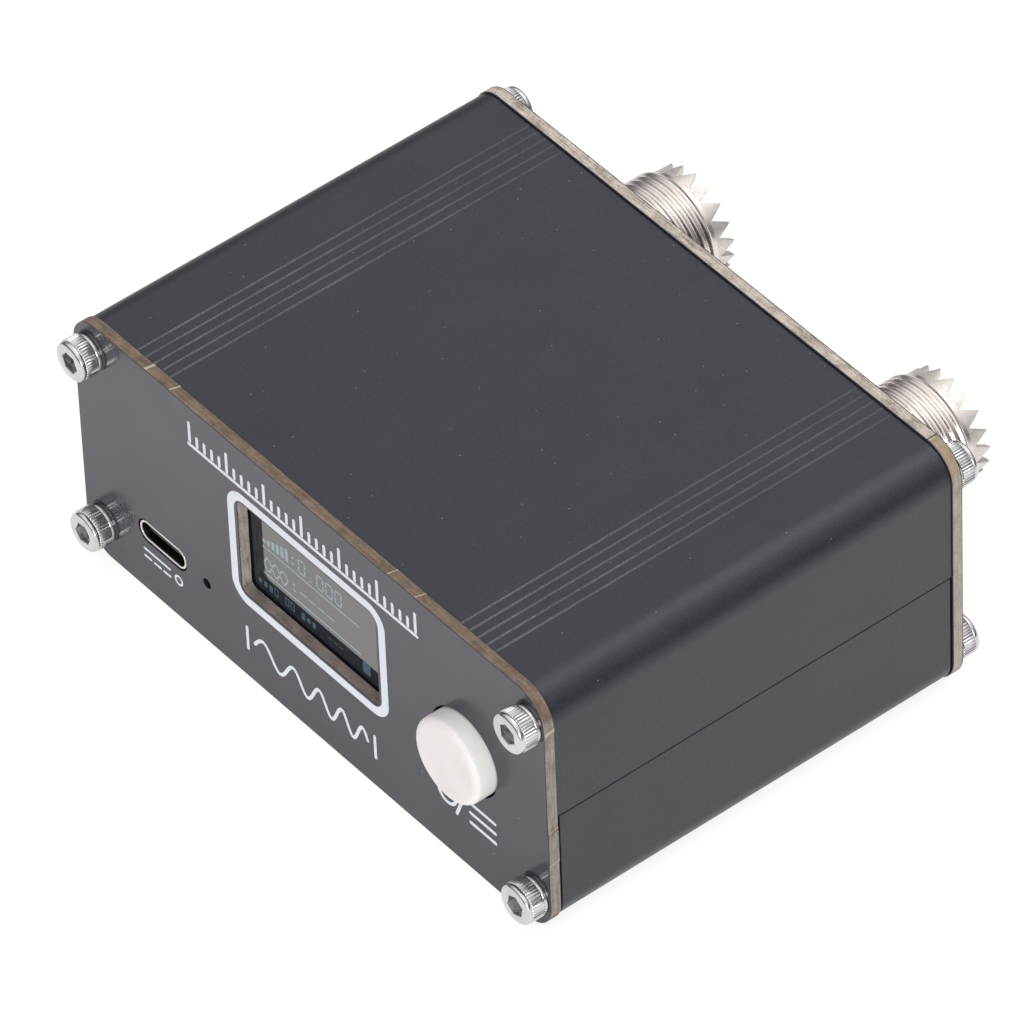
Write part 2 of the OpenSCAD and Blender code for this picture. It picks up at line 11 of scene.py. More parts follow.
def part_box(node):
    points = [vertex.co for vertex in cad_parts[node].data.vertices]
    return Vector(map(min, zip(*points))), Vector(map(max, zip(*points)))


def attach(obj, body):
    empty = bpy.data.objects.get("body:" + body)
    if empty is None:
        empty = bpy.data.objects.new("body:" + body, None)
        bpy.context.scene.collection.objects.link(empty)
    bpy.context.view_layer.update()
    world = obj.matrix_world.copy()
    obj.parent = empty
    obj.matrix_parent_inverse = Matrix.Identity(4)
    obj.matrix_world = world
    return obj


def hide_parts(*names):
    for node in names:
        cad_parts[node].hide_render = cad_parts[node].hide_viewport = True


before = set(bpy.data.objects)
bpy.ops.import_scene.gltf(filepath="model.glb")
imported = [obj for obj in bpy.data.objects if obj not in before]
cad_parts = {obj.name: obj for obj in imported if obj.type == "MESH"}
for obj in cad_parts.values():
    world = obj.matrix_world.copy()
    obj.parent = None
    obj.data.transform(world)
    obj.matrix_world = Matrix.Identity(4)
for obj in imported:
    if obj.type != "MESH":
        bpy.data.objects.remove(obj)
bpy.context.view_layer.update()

MM = 0.001
CASE = "case"
BUTTON = "button"

# ---------------------------------------------------------------- sizes read from the frame


def box_mm(node):
    """Lowest and highest corner of a CAD node, in millimetres."""
    low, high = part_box(node)
    return low / MM, high / MM


PANEL_LOW, PANEL_HIGH = box_mm("front_panel")
REAR_LOW, REAR_HIGH = box_mm("rear_panel")
GLASS_LOW, GLASS_HIGH = box_mm("oled_glass")
CAP_LOW, CAP_HIGH = box_mm("button_cap")
USB_LOW, USB_HIGH = box_mm("usb_shell")
SCREW_LOW, SCREW_HIGH = box_mm("front_screws")

FACE_Y = PANEL_LOW.y
MIDDLE_Z = (PANEL_LOW.z + PANEL_HIGH.z) / 2

HEAD_R = 2.75
HEAD_H = FACE_Y - SCREW_LOW.y
SCREW_LEN = SCREW_HIGH.y - FACE_Y
SCREW_X = SCREW_HIGH.x - HEAD_R
SCREW_DZ = (SCREW_HIGH.z - SCREW_LOW.z) / 2 - HEAD_R
SCREW_PLACES = [(x, MIDDLE_Z + dz) for x in (-SCREW_X, SCREW_X) for dz in (-SCREW_DZ, SCREW_DZ)]

CAP_X = (CAP_LOW.x + CAP_HIGH.x) / 2
CAP_Z = (CAP_LOW.z + CAP_HIGH.z) / 2
CAP_R = (CAP_HIGH.x - CAP_LOW.x) / 2
USB_X = (USB_LOW.x + USB_HIGH.x) / 2
USB_Z = (USB_LOW.z + USB_HIGH.z) / 2
LED_X = sum(corner.x for corner in box_mm("charge_led")) / 2

PANEL_R = 4.5
SCREW_HOLE_R = 1.7
# where the front panel was snapped out of its sheet: along its top edge, and up its right edge
TOP_STUBS = [(-30.0, -25.3), (15.6, 20.7)]
RIGHT_STUBS = [(11.7, 17.0)]
WINDOW_X = (GLASS_LOW.x + GLASS_HIGH.x) / 2
WINDOW_Z = 21.65
WINDOW_W = 26.0
WINDOW_H = 15.0
WINDOW_R = 1.0
# where the glass stops reflecting fully: left of and below these, its reflection is weakened as painted shade
# for the shaded window walls
MIRROR_LEFT = WINDOW_X - WINDOW_W / 2 + 1.3 * (GLASS_LOW.y - FACE_Y)
MIRROR_LOW = WINDOW_Z - WINDOW_H / 2 + 1.6 * (GLASS_LOW.y - FACE_Y)
LED_Z = 10.0
LED_R = 0.7

# ---------------------------------------------------------------- outlines in X and Z


def arc(cx, cz, r, start, stop, steps):
    """Points on an arc, angles in degrees from +X towards +Z."""
    angles = [math.radians(start + (stop - start) * i / steps) for i in range(steps + 1)]
    return [(cx + r * math.cos(a), cz + r * math.sin(a)) for a in angles]


def rounded_outline(x0, z0, x1, z1, r, steps=14):
    """A rounded rectangle, anticlockwise."""
    return (arc(x1 - r, z0 + r, r, -90, 0, steps) + arc(x1 - r, z1 - r, r, 0, 90, steps)
            + arc(x0 + r, z1 - r, r, 90, 180, steps) + arc(x0 + r, z0 + r, r, 180, 270, steps))


def centred_outline(cx, cz, w, h, r, steps=14):
    return rounded_outline(cx - w / 2, cz - h / 2, cx + w / 2, cz + h / 2, r, steps)


def circle_outline(cx, cz, r, steps=64):
    return arc(cx, cz, r, 0, 360, steps)[:-1]


def ribbon_outline(points, width, cap_steps=6):
    """A line of even width with round ends that follows the points, anticlockwise."""
    half = width / 2
    vectors = [Vector(p) for p in points]
    sides = []
    for i, p in enumerate(vectors):
        before = (p - vectors[i - 1]).normalized() if i > 0 else None
        after = (vectors[i + 1] - p).normalized() if i < len(vectors) - 1 else None
        direction = (before or after) + (after or before)
        direction.normalize()
        normal = Vector((-direction.y, direction.x))
        reach = half / max(0.5, direction.dot(after or before))
        sides.append((p + normal * reach, p - normal * reach))

    def cap(centre, towards):
        middle = math.degrees(math.atan2(towards.y, towards.x))
        return arc(centre.x, centre.y, half, middle - 90, middle + 90, cap_steps)[1:-1]

    right = [tuple(s[1]) for s in sides]
    left = [tuple(s[0]) for s in reversed(sides)]
    return (right + cap(vectors[-1], vectors[-1] - vectors[-2])
            + left + cap(vectors[0], vectors[0] - vectors[1]))


def inset_loop(loop, distance):
    """The loop moved to its left by a distance: inwards on an anticlockwise loop."""
    moved = []
    for i, point in enumerate(loop):
        p = Vector(point)
        before = (p - Vector(loop[i - 1])).normalized()
        after = (Vector(loop[(i + 1) % len(loop)]) - p).normalized()
        direction = (before + after).normalized()
        reach = distance / max(0.5, direction.dot(after))
        moved.append((p.x - direction.y * reach, p.y + direction.x * reach))
    return moved


def without_doubles(loop, least=1e-4):
    """The loop without points that lie on the one before."""
    kept = []
    for p in loop:
        if not kept or math.dist(p, kept[-1]) > least:
            kept.append(p)
    if math.dist(kept[0], kept[-1]) <= least:
        kept.pop()
    return kept


# ---------------------------------------------------------------- meshes


def make_piece(name, mesh, body, replaces=(), sharp_deg=32, weighted=True):
    """Links a mesh as a piece that rides on a body, with its flat faces and sharp edges kept.

    Weighted normals follow the larger face, so a flat face stays flat beside a rounded corner.
    """
    smooth = [face.use_smooth for face in mesh.polygons]
    mesh.set_sharp_from_angle(angle=math.radians(sharp_deg))
    mesh.polygons.foreach_set("use_smooth", smooth)
    piece = bpy.data.objects.new(name, mesh)
    bpy.context.scene.collection.objects.link(piece)
    if weighted:
        normals = piece.modifiers.new("weighted_normals", "WEIGHTED_NORMAL")
        normals.keep_sharp = True
        normals.weight = 100
    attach(piece, body)
    if replaces:
        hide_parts(*replaces)
    return piece


def mesh_of(name, bm, materials):
    """Closes a bmesh in millimetres into a mesh in metres."""
    bmesh.ops.recalc_face_normals(bm, faces=bm.faces)
    bmesh.ops.scale(bm, vec=(MM, MM, MM), verts=bm.verts)
    mesh = bpy.data.meshes.new(name)
    bm.to_mesh(mesh)
    bm.free()
    for material in materials:
        mesh.materials.append(material)
    return mesh


def add_plate(bm, outline, holes, y0, y1, bevel, steps=2, walls=(0,), lip=0.0):
    """Adds a flat plate between y0 and y1, with rounded edges, from an outline and its holes.

    walls gives the material of each loop's wall, the outline first; the last one also serves the rest.
    lip is how far the material of the faces laps onto the walls.
    """
    loops = [without_doubles(outline)] + [without_doubles(hole)[::-1] for hole in holes]
    walls = list(walls) + [walls[-1]] * (len(loops) - len(walls))
    quarter = [math.pi / 2 * k / steps for k in range(steps + 1)]
    rounding = [(bevel * (1 - math.sin(a)), bevel * (1 - math.cos(a))) for a in quarter]
    if lip:
        rounding.append((0.0, bevel + lip))
    stations = [(inset, y0 + depth) for inset, depth in rounding]
    stations += [(inset, y1 - depth) for inset, depth in reversed(rounding)]
    first_ring, last_ring = [], []
    for loop, wall in zip(loops, walls):
        rings = [[bm.verts.new((x, y, z)) for x, z in inset_loop(loop, inset)] for inset, y in stations]
        for index, (low, high) in enumerate(zip(rings, rings[1:])):
            for i, vert in enumerate(low):
                j = (i + 1) % len(low)
                face = bm.faces.new((vert, low[j], high[j], high[i]))
                face.smooth = True
                face.material_index = wall if index == len(rounding) - 1 else 0
        first_ring.append(rings[0])
        last_ring.append(rings[-1])
    for rings in (first_ring, last_ring):
        flat = [v for ring in rings for v in ring]
        points = [[Vector((v.co.x, v.co.z, 0)) for v in ring] for ring in rings]
        for a, b, c in tessellate_polygon(points):
            if len({a, b, c}) == 3:
                bm.faces.new((flat[a], flat[b], flat[c]))


def add_lathe(bm, rows, steps, place, closed=False):
    """Adds a surface of revolution. Each row is a function of the angle that gives (radius, distance)."""
    angles = [2 * math.pi * i / steps for i in range(steps)]
    rings = []
    for row in rows:
        points = [row(a) for a in angles]
        if max(r for r, _ in points) < 1e-6:
            rings.append([bm.verts.new(place(0, points[0][1], 0))])
        else:
            rings.append([bm.verts.new(place(r, d, a)) for (r, d), a in zip(points, angles)])
    pairs = list(zip(rings, rings[1:])) + ([(rings[-1], rings[0])] if closed else [])
    for low, high in pairs:
        for i in range(steps):
            j = (i + 1) % steps
            corners = [low[i % len(low)], low[j % len(low)], high[j % len(high)], high[i % len(high)]]
            unique = [v for k, v in enumerate(corners) if v not in corners[:k]]
            if len(unique) > 2:
                bm.faces.new(unique).smooth = True


def fixed_row(r, d):
    """A row of the same radius and distance all round."""
    return lambda angle: (r, d)


def add_box(bm, low, high):
    centre = [(a + b) / 2 for a, b in zip(low, high)]
    size = [b - a for a, b in zip(low, high)]
    place = Matrix.Translation(centre) @ Matrix.Diagonal((*size, 1))
    bmesh.ops.create_cube(bm, size=1, matrix=place)


def add_prism(bm, rings):
    """Adds the solid between two rings of vertices."""
    low, high = rings
    bm.faces.new(low)
    bm.faces.new(high)
    for i, vert in enumerate(low):
        j = (i + 1) % len(low)
        bm.faces.new((vert, low[j], high[j], high[i]))


def along_y(x, z, y, forwards=1):
    """A place function: radius, distance and angle about a line along Y, from y in a direction."""
    return lambda r, d, a: (x + r * math.cos(a), y + forwards * d, z + r * math.sin(a))


# ---------------------------------------------------------------- materials


def srgb(r, g, b):
    """An sRGB colour of 0 to 255 as linear numbers."""
    def linear(value):
        share = value / 255
        return share / 12.92 if share <= 0.04045 else ((share + 0.055) / 1.055) ** 2.4
    return (linear(r), linear(g), linear(b), 1.0)


SPECK_STRENGTH = 0.7


class Nodes:
    """A short way to write a material's node tree."""

    def __init__(self, name):
        self.material = bpy.data.materials.new(name)
        self.material.use_nodes = True
        self.tree = self.material.node_tree
        self.shader = self.tree.nodes["Principled BSDF"]
        self.place = self.tree.nodes.new("ShaderNodeTexCoord").outputs["Object"]

    def node(self, kind, inputs=None, **settings):
        made = self.tree.nodes.new(kind)
        for key, value in settings.items():
            setattr(made, key, value)
        for key, value in (inputs or {}).items():
            if isinstance(value, bpy.types.NodeSocket):
                self.tree.links.new(value, made.inputs[key])
            else:
                made.inputs[key].default_value = value
        return made

    def stretched(self, sx, sy, sz):
        """Object coordinates scaled along each axis."""
        return self.node("ShaderNodeMapping", {"Vector": self.place, "Scale": (sx, sy, sz)}).outputs[0]

    def noise(self, grain_mm, detail=2.0, rough=0.5, vector=None):
        """Noise from 0 to 1 whose blotches are about grain_mm across."""
        made = self.node("ShaderNodeTexNoise", {"Vector": vector or self.place, "Scale": 1 / (grain_mm * MM),
                                                "Detail": detail, "Roughness": rough})
        return made.outputs["Fac"]

    def ranged(self, value, low, high, new_low, new_high):
        made = self.node("ShaderNodeMapRange", {"Value": value, "From Min": low, "From Max": high,
                                                "To Min": new_low, "To Max": new_high})
        made.clamp = True
        return made.outputs[0]

    def mix(self, share, first, second):
        made = self.node("ShaderNodeMix", data_type="RGBA")
        for socket, value in ((made.inputs[0], share), (made.inputs[6], first), (made.inputs[7], second)):
            if isinstance(value, bpy.types.NodeSocket):
                self.tree.links.new(value, socket)
            else:
                socket.default_value = value
        return made.outputs[2]

    def axes(self, vector=None):
        """The X, Y and Z of a vector, which is the object coordinates unless another is given."""
        return self.node("ShaderNodeSeparateXYZ", {0: vector or self.place}).outputs

    def facing(self, axis):
        """How far the surface faces along an axis, from -1 to 1."""
        return self.axes(self.node("ShaderNodeNewGeometry").outputs["Normal"])[axis]

    def math(self, operation, first, second=0.0):
        made = self.node("ShaderNodeMath", {0: first, 1: second}, operation=operation)
        return made.outputs[0]

    def set(self, **values):
        """Sets or links the shader's sockets, with _ for a space."""
        for key, value in values.items():
            socket = self.shader.inputs[key.replace("_", " ")]
            if isinstance(value, bpy.types.NodeSocket):
                self.tree.links.new(value, socket)
            else:
                socket.default_value = value
        return self

    def specks(self, cell_mm, radius, rarity):
        """A mask of small scattered dots: radius as a share of a cell, rarity as the share left bare."""
        cells = self.node("ShaderNodeTexVoronoi", {"Vector": self.place, "Scale": 1 / (cell_mm * MM)})
        pick = self.node("ShaderNodeSeparateColor", {"Color": cells.outputs["Color"]}).outputs[0]
        dots = self.math("LESS_THAN", cells.outputs["Distance"], radius)
        kept = self.math("MULTIPLY", dots, self.math("GREATER_THAN", pick, rarity))
        return self.math("MULTIPLY", kept, SPECK_STRENGTH)

    def bump(self, height, strength, distance_mm):
        made = self.node("ShaderNodeBump", {"Height": height, "Strength": strength,
                                            "Distance": distance_mm * MM})
        self.tree.links.new(made.outputs[0], self.shader.inputs["Normal"])
        return self


def moulded(name, colour, roughness=0.45, grain_mm=0.12, bump=0.15, spread=0.12, metallic=0.0):
    """A plain moulded or coated surface with slight mottling, roughness variation and fine grain."""
    n = Nodes(name)
    darker = tuple(c * (1 - spread) for c in colour[:3]) + (1.0,)
    lighter = tuple(min(1.0, c * (1 + spread)) for c in colour[:3]) + (1.0,)
    blotch = n.ranged(n.noise(grain_mm * 14), 0.3, 0.7, 0.0, 1.0)
    fine = n.noise(grain_mm, 3.0)
    n.set(Base_Color=n.mix(blotch, darker, lighter), Metallic=metallic,
          Roughness=n.ranged(fine, 0.3, 0.7, roughness * 0.88, min(1.0, roughness * 1.12)))
    return n.bump(fine, bump, 0.02).material


def anodised_aluminium(name, dark, light, rear_painted_highlight=None):
    """Bead-blasted and anodised: fine grain, faint draw streaks, bright specks, and a specular level that rises
    towards the rear, a painted sheen.

    The last colour, if given, is what the light colour fades to at the rear; on the grooves this fade makes
    their painted highlight fainter towards the rear.
    """
    n = Nodes(name)
    fine = n.noise(0.24, 3.0, 0.75)
    cloud = n.noise(9.0, 2.0)
    draw = n.noise(1.0, 3.0, 0.6, n.stretched(1.2, 0.05, 1.2))
    tone = n.math("ADD", n.math("MULTIPLY", fine, 0.75),
                  n.math("ADD", n.math("MULTIPLY", cloud, 0.15), n.math("MULTIPLY", draw, 0.1)))
    along = n.axes()["Y"]
    # the light colour fades towards the rear: on the grooves, their painted highlight grows fainter there
    if rear_painted_highlight:
        light = n.mix(n.ranged(along, -0.036, 0.024, 0.0, 1.0), light, rear_painted_highlight)
    base = n.mix(n.ranged(tone, 0.35, 0.65, 0.0, 1.0), dark, light)
    # specular level rises towards the rear: a painted sheen for the brighter reflection along the rear of the
    # body
    shine = n.math("ADD", n.ranged(n.noise(0.22, 1.0, 0.6), 0.36, 0.64, 0.46, 0.54),
                   n.ranged(along, -0.036, 0.024, -0.03, 0.03))
    n.set(Base_Color=n.mix(n.specks(1.4, 0.06, 0.65), base, srgb(130, 135, 141)), Specular_IOR_Level=shine,
          Roughness=n.ranged(fine, 0.3, 0.7, 0.34, 0.44), IOR=1.5, Specular_Tint=(0.95, 0.955, 1.0, 1.0))
    return n.bump(fine, 0.75, 0.035).material


def solder_mask():
    """Satin black mask: slight orange peel, and a reflection that weakens towards the bottom and towards +X,
    painted shade for the darker floor it reflects near the object.
    """
    n = Nodes("solder_mask")
    peel = n.noise(0.9, 2.0)
    fine = n.noise(0.1, 2.0)
    cloud = n.math("ADD", n.math("MULTIPLY", n.noise(6.0), 0.4), n.math("MULTIPLY", n.noise(0.35), 0.6))
    base = n.mix(n.ranged(cloud, 0.38, 0.62, 0.0, 1.0), srgb(25, 23, 35), srgb(41, 39, 51))
    # reflection strength rises with height and falls towards +X: painted shade for the floor's contact shadow
    # seen in the panel
    place = n.axes()
    height = n.math("SUBTRACT", place["Z"], n.math("MULTIPLY", place["X"], 0.12))
    n.set(Base_Color=n.mix(n.specks(2.6, 0.035, 0.8), base, srgb(170, 172, 178)),
          Roughness=n.ranged(fine, 0.3, 0.7, 0.17, 0.22), IOR=1.51, Specular_Tint=(0.95, 0.94, 1.0, 1.0),
          Specular_IOR_Level=n.ranged(height, 0.0, 0.034, 0.36, 0.575))
    relief = n.math("ADD", n.math("MULTIPLY", peel, 0.7), n.math("MULTIPLY", fine, 0.3))
    return n.bump(relief, 0.12, 0.03).material


def laminate_edge(name, dark, light, corner=None, side=None):
    """The cut edge of glass-fibre board: layers through its thickness, broken by pale fibre ends.

    Corner and side, each a dark and a light, recolour the upper right corner and the edge that
    faces +X; the side colours are painted light, a separately toned copy for the light that edge catches.
    """
    n = Nodes(name)
    layers = n.noise(1.0, 2.0, 0.6, n.stretched(0.3, 4.0, 0.3))
    fibres = n.noise(0.3, 3.0, 0.7)
    patches = n.noise(2.2, 3.0, 0.6)
    tone = n.math("ADD", n.math("MULTIPLY", layers, 0.35),
                  n.math("ADD", n.math("MULTIPLY", fibres, 0.35), n.math("MULTIPLY", patches, 0.3)))
    tone = n.ranged(tone, 0.38, 0.62, 0.0, 1.0)
    colour = n.mix(tone, dark, light)
    facing = n.facing("X")
    # the +X side colours are painted light: a separately toned copy for the light that edge catches
    for edge_tones, start in ((corner, 0.05), (side, 0.93)):
        if edge_tones:
            colour = n.mix(n.ranged(facing, start, start + 0.04, 0.0, 1.0), colour, n.mix(tone, *edge_tones))
    n.set(Base_Color=colour, Roughness=n.ranged(fibres, 0.3, 0.7, 0.6, 0.8))
    return n.bump(tone, 0.6, 0.05).material


def plated_metal(name, colour, roughness, grain_mm=0.3, bump=0.05):
    """Plated metal: fine polishing haze and faint tarnish."""
    n = Nodes(name)
    haze = n.noise(grain_mm, 3.0, 0.6)
    stain = n.ranged(n.noise(3.0, 2.0), 0.35, 0.7, 0.0, 1.0)
    darker = tuple(c * 0.86 for c in colour[:3]) + (1.0,)
    n.set(Base_Color=n.mix(stain, darker, colour), Metallic=1.0,
          Roughness=n.ranged(haze, 0.3, 0.7, roughness * 0.75, roughness * 1.3))
    return n.bump(haze, bump, 0.02).material


def button_plastic():
    """Off-white moulded plastic with light that sinks in a little, its side painted paler than its face:
    painted light for the light the side catches.
    """
    n = Nodes("button_plastic")
    fine = n.noise(0.15, 3.0)
    cloud = n.ranged(n.noise(4.0, 2.0), 0.35, 0.65, 0.0, 1.0)
    # face and side are lit and shaded copies of one plastic: the paler side is painted light
    facing = n.facing("Y")
    face = n.mix(cloud, srgb(228, 222, 218), srgb(232, 227, 224))
    side = n.mix(cloud, srgb(247, 243, 239), srgb(250, 247, 244))
    n.set(Base_Color=n.mix(n.ranged(facing, -0.9, -0.1, 0.0, 1.0), face, side), IOR=1.46,
          Roughness=n.ranged(fine, 0.3, 0.7, 0.30, 0.40),
          Subsurface_Weight=0.6, Subsurface_Radius=(1.1 * MM, 1.0 * MM, 0.95 * MM), Subsurface_Scale=1.0)
    return n.bump(fine, 0.06, 0.02).material


MIRROR_IOR = 2.15
MIRROR_TINT = (1.0, 0.92, 0.85, 1.0)
MIRROR_SHINE = 0.55
# the glass's reflection along its left and lower margin, and on the small marks there: painted shade for the
# shaded window walls it reflects
PAINTED_SHADE_SHINE = 0.13


def display_glass():
    """A dim display behind clear glass: a mirror over the lit rows, its reflection weakened along its left and
    lower margin, painted shade for the shaded window walls it reflects there.
    """
    n = Nodes("display_glass")
    smear = n.noise(2.5, 3.0, 0.6)
    base = n.mix(n.ranged(smear, 0.3, 0.7, 0.0, 1.0), srgb(20, 27, 38), srgb(26, 33, 44))
    across = n.axes()
    left, low = (value * MM for value in (MIRROR_LEFT, MIRROR_LOW))
    soft = 0.05 * MM
    mirror = n.math("MINIMUM", n.ranged(across["X"], left - soft, left + soft, PAINTED_SHADE_SHINE, MIRROR_SHINE),
                    n.ranged(across["Z"], low - soft, low + soft, PAINTED_SHADE_SHINE, MIRROR_SHINE))
    n.set(Base_Color=base, Roughness=n.ranged(smear, 0.3, 0.7, 0.02, 0.06), IOR=MIRROR_IOR,
          Specular_Tint=MIRROR_TINT, Specular_IOR_Level=mirror)
    return n.material


def lit_pixels(name, colour, strength, shine):
    """Lit display marks, with the pixel rows just visible and the shine of the glass round them."""
    n = Nodes(name)
    rows = n.node("ShaderNodeTexWave", {"Vector": n.place, "Scale": 1 / (1.1 * MM)},
                  wave_type="BANDS", bands_direction="Z").outputs["Fac"]
    glow = n.mix(n.ranged(rows, 0.0, 1.0, 0.6, 1.0), srgb(0, 0, 0), colour)
    n.set(Base_Color=srgb(31, 34, 40), Emission_Color=glow, Emission_Strength=strength, Roughness=0.04,
          IOR=MIRROR_IOR, Specular_Tint=MIRROR_TINT, Specular_IOR_Level=shine)
    return n.material


def print_white():
    """White legend ink: a little uneven, slightly raised."""
    n = Nodes("print_white")
    fine = n.noise(0.18, 3.0)
    n.set(Base_Color=n.mix(n.ranged(fine, 0.3, 0.7, 0.0, 1.0), srgb(208, 212, 220), srgb(232, 236, 243)),
          Roughness=n.ranged(fine, 0.3, 0.7, 0.45, 0.6))
    return n.bump(fine, 0.2, 0.01).material


def clear_plastic(name, colour):
    n = Nodes(name)
    fine = n.noise(0.3, 2.0)
    n.set(Base_Color=colour, Roughness=n.ranged(fine, 0.3, 0.7, 0.1, 0.2), Transmission_Weight=0.4)
    return n.bump(fine, 0.05, 0.02).material


def floor_white():
    """Pale paper that glows most round the object and dims away from it: a painted pool of light that fills in
    the object's shadow.
    """
    n = Nodes("floor_white")
    cloud = n.noise(60.0, 2.0)
    distance = n.node("ShaderNodeVectorMath", {0: n.place}, operation="LENGTH").outputs["Value"]
    # emission strongest within 0.15 m of the object and faint beyond 0.28 m: painted light that fills in the
    # object's shadow
    n.set(Base_Color=n.mix(cloud, (0.29, 0.29, 0.29, 1), (0.31, 0.31, 0.31, 1)), Roughness=0.9,
          Specular_IOR_Level=0.0, Emission_Color=(1.0, 1.0, 1.0, 1.0),
          Emission_Strength=n.ranged(distance, 0.15, 0.28, 0.81, 0.13))
    return n.material


ANODISED = anodised_aluminium("anodised_aluminium", srgb(27, 28, 35), srgb(43, 44, 51))
# groove colour: a painted highlight for the light the groove walls catch, fainter towards the rear
GROOVE_PAINTED_HIGHLIGHT = anodised_aluminium("aluminium_painted_groove_highlight", srgb(34, 35, 41), srgb(108, 109, 114),
                               srgb(78, 79, 84))
MASK = solder_mask()
# each edge's side colours are painted light for its +X-facing edge
FRONT_EDGE = laminate_edge("laminate_edge_front", srgb(76, 62, 50), srgb(130, 112, 95),
                           side=(srgb(102, 93, 84), srgb(154, 144, 134)))
REAR_EDGE = laminate_edge("laminate_edge_rear", srgb(122, 111, 100), srgb(210, 199, 187),
                          corner=(srgb(128, 112, 92), srgb(168, 150, 124)),
                          side=(srgb(128, 120, 110), srgb(176, 167, 157)))
WINDOW_EDGE = laminate_edge("laminate_edge_window", srgb(98, 88, 82), srgb(156, 144, 136),
                            side=(srgb(124, 114, 107), srgb(190, 179, 170)))
SCRATCH = laminate_edge("laminate_scratch", srgb(146, 135, 121), srgb(190, 180, 166))
BURNT = laminate_edge("laminate_burnt", srgb(44, 36, 28), srgb(66, 54, 42))
STEEL = plated_metal("screw_steel", srgb(208, 207, 208), 0.21)
NICKEL = plated_metal("nickel_plate", srgb(230, 221, 215), 0.27)
NICKEL_CUT = plated_metal("nickel_plate_cut", srgb(228, 221, 214), 0.5)
# the tube's inner walls: a darker copy of the plating, painted shade
USB_INSIDE_PAINTED_SHADE = plated_metal("usb_inside_painted_shade", srgb(104, 102, 100), 0.3)
GOLD = plated_metal("contact_gold", srgb(226, 190, 120), 0.2)
WHITE_INK = print_white()
BUTTON_PLASTIC = button_plastic()
GLASS = display_glass()
PIXELS = lit_pixels("lit_pixels", srgb(160, 205, 214), 0.38, MIRROR_SHINE)
# the small marks share the margin's weakened reflection, painted shade
DIM_PIXELS = lit_pixels("dim_pixels", srgb(140, 205, 225), 0.2, PAINTED_SHADE_SHINE)
BLACK_PLASTIC = moulded("black_plastic", srgb(30, 30, 31), 0.4)
GREY_PLASTIC = moulded("grey_plastic", srgb(88, 88, 90), 0.45)

CAD_MATERIALS = {
    GOLD: ["left_centre_contact", "right_centre_contact", "through_conductor", "sense_conductor"],
    moulded("white_insulator", srgb(233, 233, 229), 0.5, 0.3, 0.08, 0.03): [
        "left_socket_insulator", "right_socket_insulator"],
    moulded("board_green", srgb(20, 78, 42), 0.35, 0.2, 0.1, 0.2): ["main_board", "control_board"],
    moulded("board_blue", srgb(22, 44, 104), 0.35, 0.2, 0.1, 0.2): ["oled_carrier"],
    BLACK_PLASTIC: ["board_header", "oled_header", "switch_body", "usb_tongue"],
    moulded("ferrite", srgb(60, 60, 63), 0.75, 0.2, 0.5, 0.15): ["line_core", "sense_core"],
    plated_metal("enamelled_wire", srgb(170, 78, 38), 0.3): ["line_winding", "sense_winding"],
    moulded("natural_nylon", srgb(222, 218, 204), 0.5, 0.2, 0.1, 0.05): ["core_cradles", "battery_connector"],
    moulded("chip_package", srgb(34, 34, 36), 0.6, 0.1, 0.4, 0.1): [
        "mcu_chip", "charger_chip", "amplifier_chip", "load_resistors"],
    clear_plastic("diode_glass", srgb(190, 110, 60)): ["detector_diodes"],
    moulded("ceramic", srgb(180, 150, 115), 0.55, 0.1, 0.3, 0.08): ["capacitors"],
    moulded("blue_plastic", srgb(40, 84, 168), 0.4): ["trimmers"],
    GREY_PLASTIC: ["switch_plunger"],
    clear_plastic("led_plastic", srgb(225, 225, 215)): ["charge_led"],
    moulded("flex_film", srgb(186, 118, 50), 0.3, 0.3, 0.1, 0.08): ["oled_flex"],
    STEEL: ["switch_cover", "switch_dome", "switch_pins"],
    plated_metal("battery_film", srgb(196, 197, 200), 0.35, 1.2, 0.3): ["battery_pack"],
    moulded("foam", srgb(52, 52, 54), 0.9, 0.25, 0.9, 0.2): ["battery_pad"],
    moulded("lead_red", srgb(176, 32, 26), 0.4, 0.3, 0.1, 0.06): ["battery_leads"],
}


def paint_cad_nodes():
    for material, names in CAD_MATERIALS.items():
        for name in names:
            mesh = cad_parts[name].data
            mesh.materials.clear()
            mesh.materials.append(material)


# ---------------------------------------------------------------- case pieces

BODY_R = 4.2
WALL = 1.5
BOSS_R = 2.4
CHANNEL_R = 1.53
SPLIT_Z = 18.8
GROOVE_X = 30.3
GROOVE_PITCH = 1.55
GROOVES = 5
BODY_LOW_Y = PANEL_HIGH.y
# the angle over which a shell's edge stays sharp; its grooves and seams do, its rounded corners don't
SHELL_SHARP_DEG = 15


def groove_cut(x, z, inwards):
    """A shallow rounded groove across an edge that runs towards -X, in steps along X and Z."""
    half, depth = 0.11, 0.06
    shape = [(half + 0.05, 0), (half, 0.02), (half * 0.6, depth), (-half * 0.6, depth), (-half, 0.02),
             (-half - 0.05, 0)]
    return [(x + dx, z + inwards * dz) for dx, dz in shape]


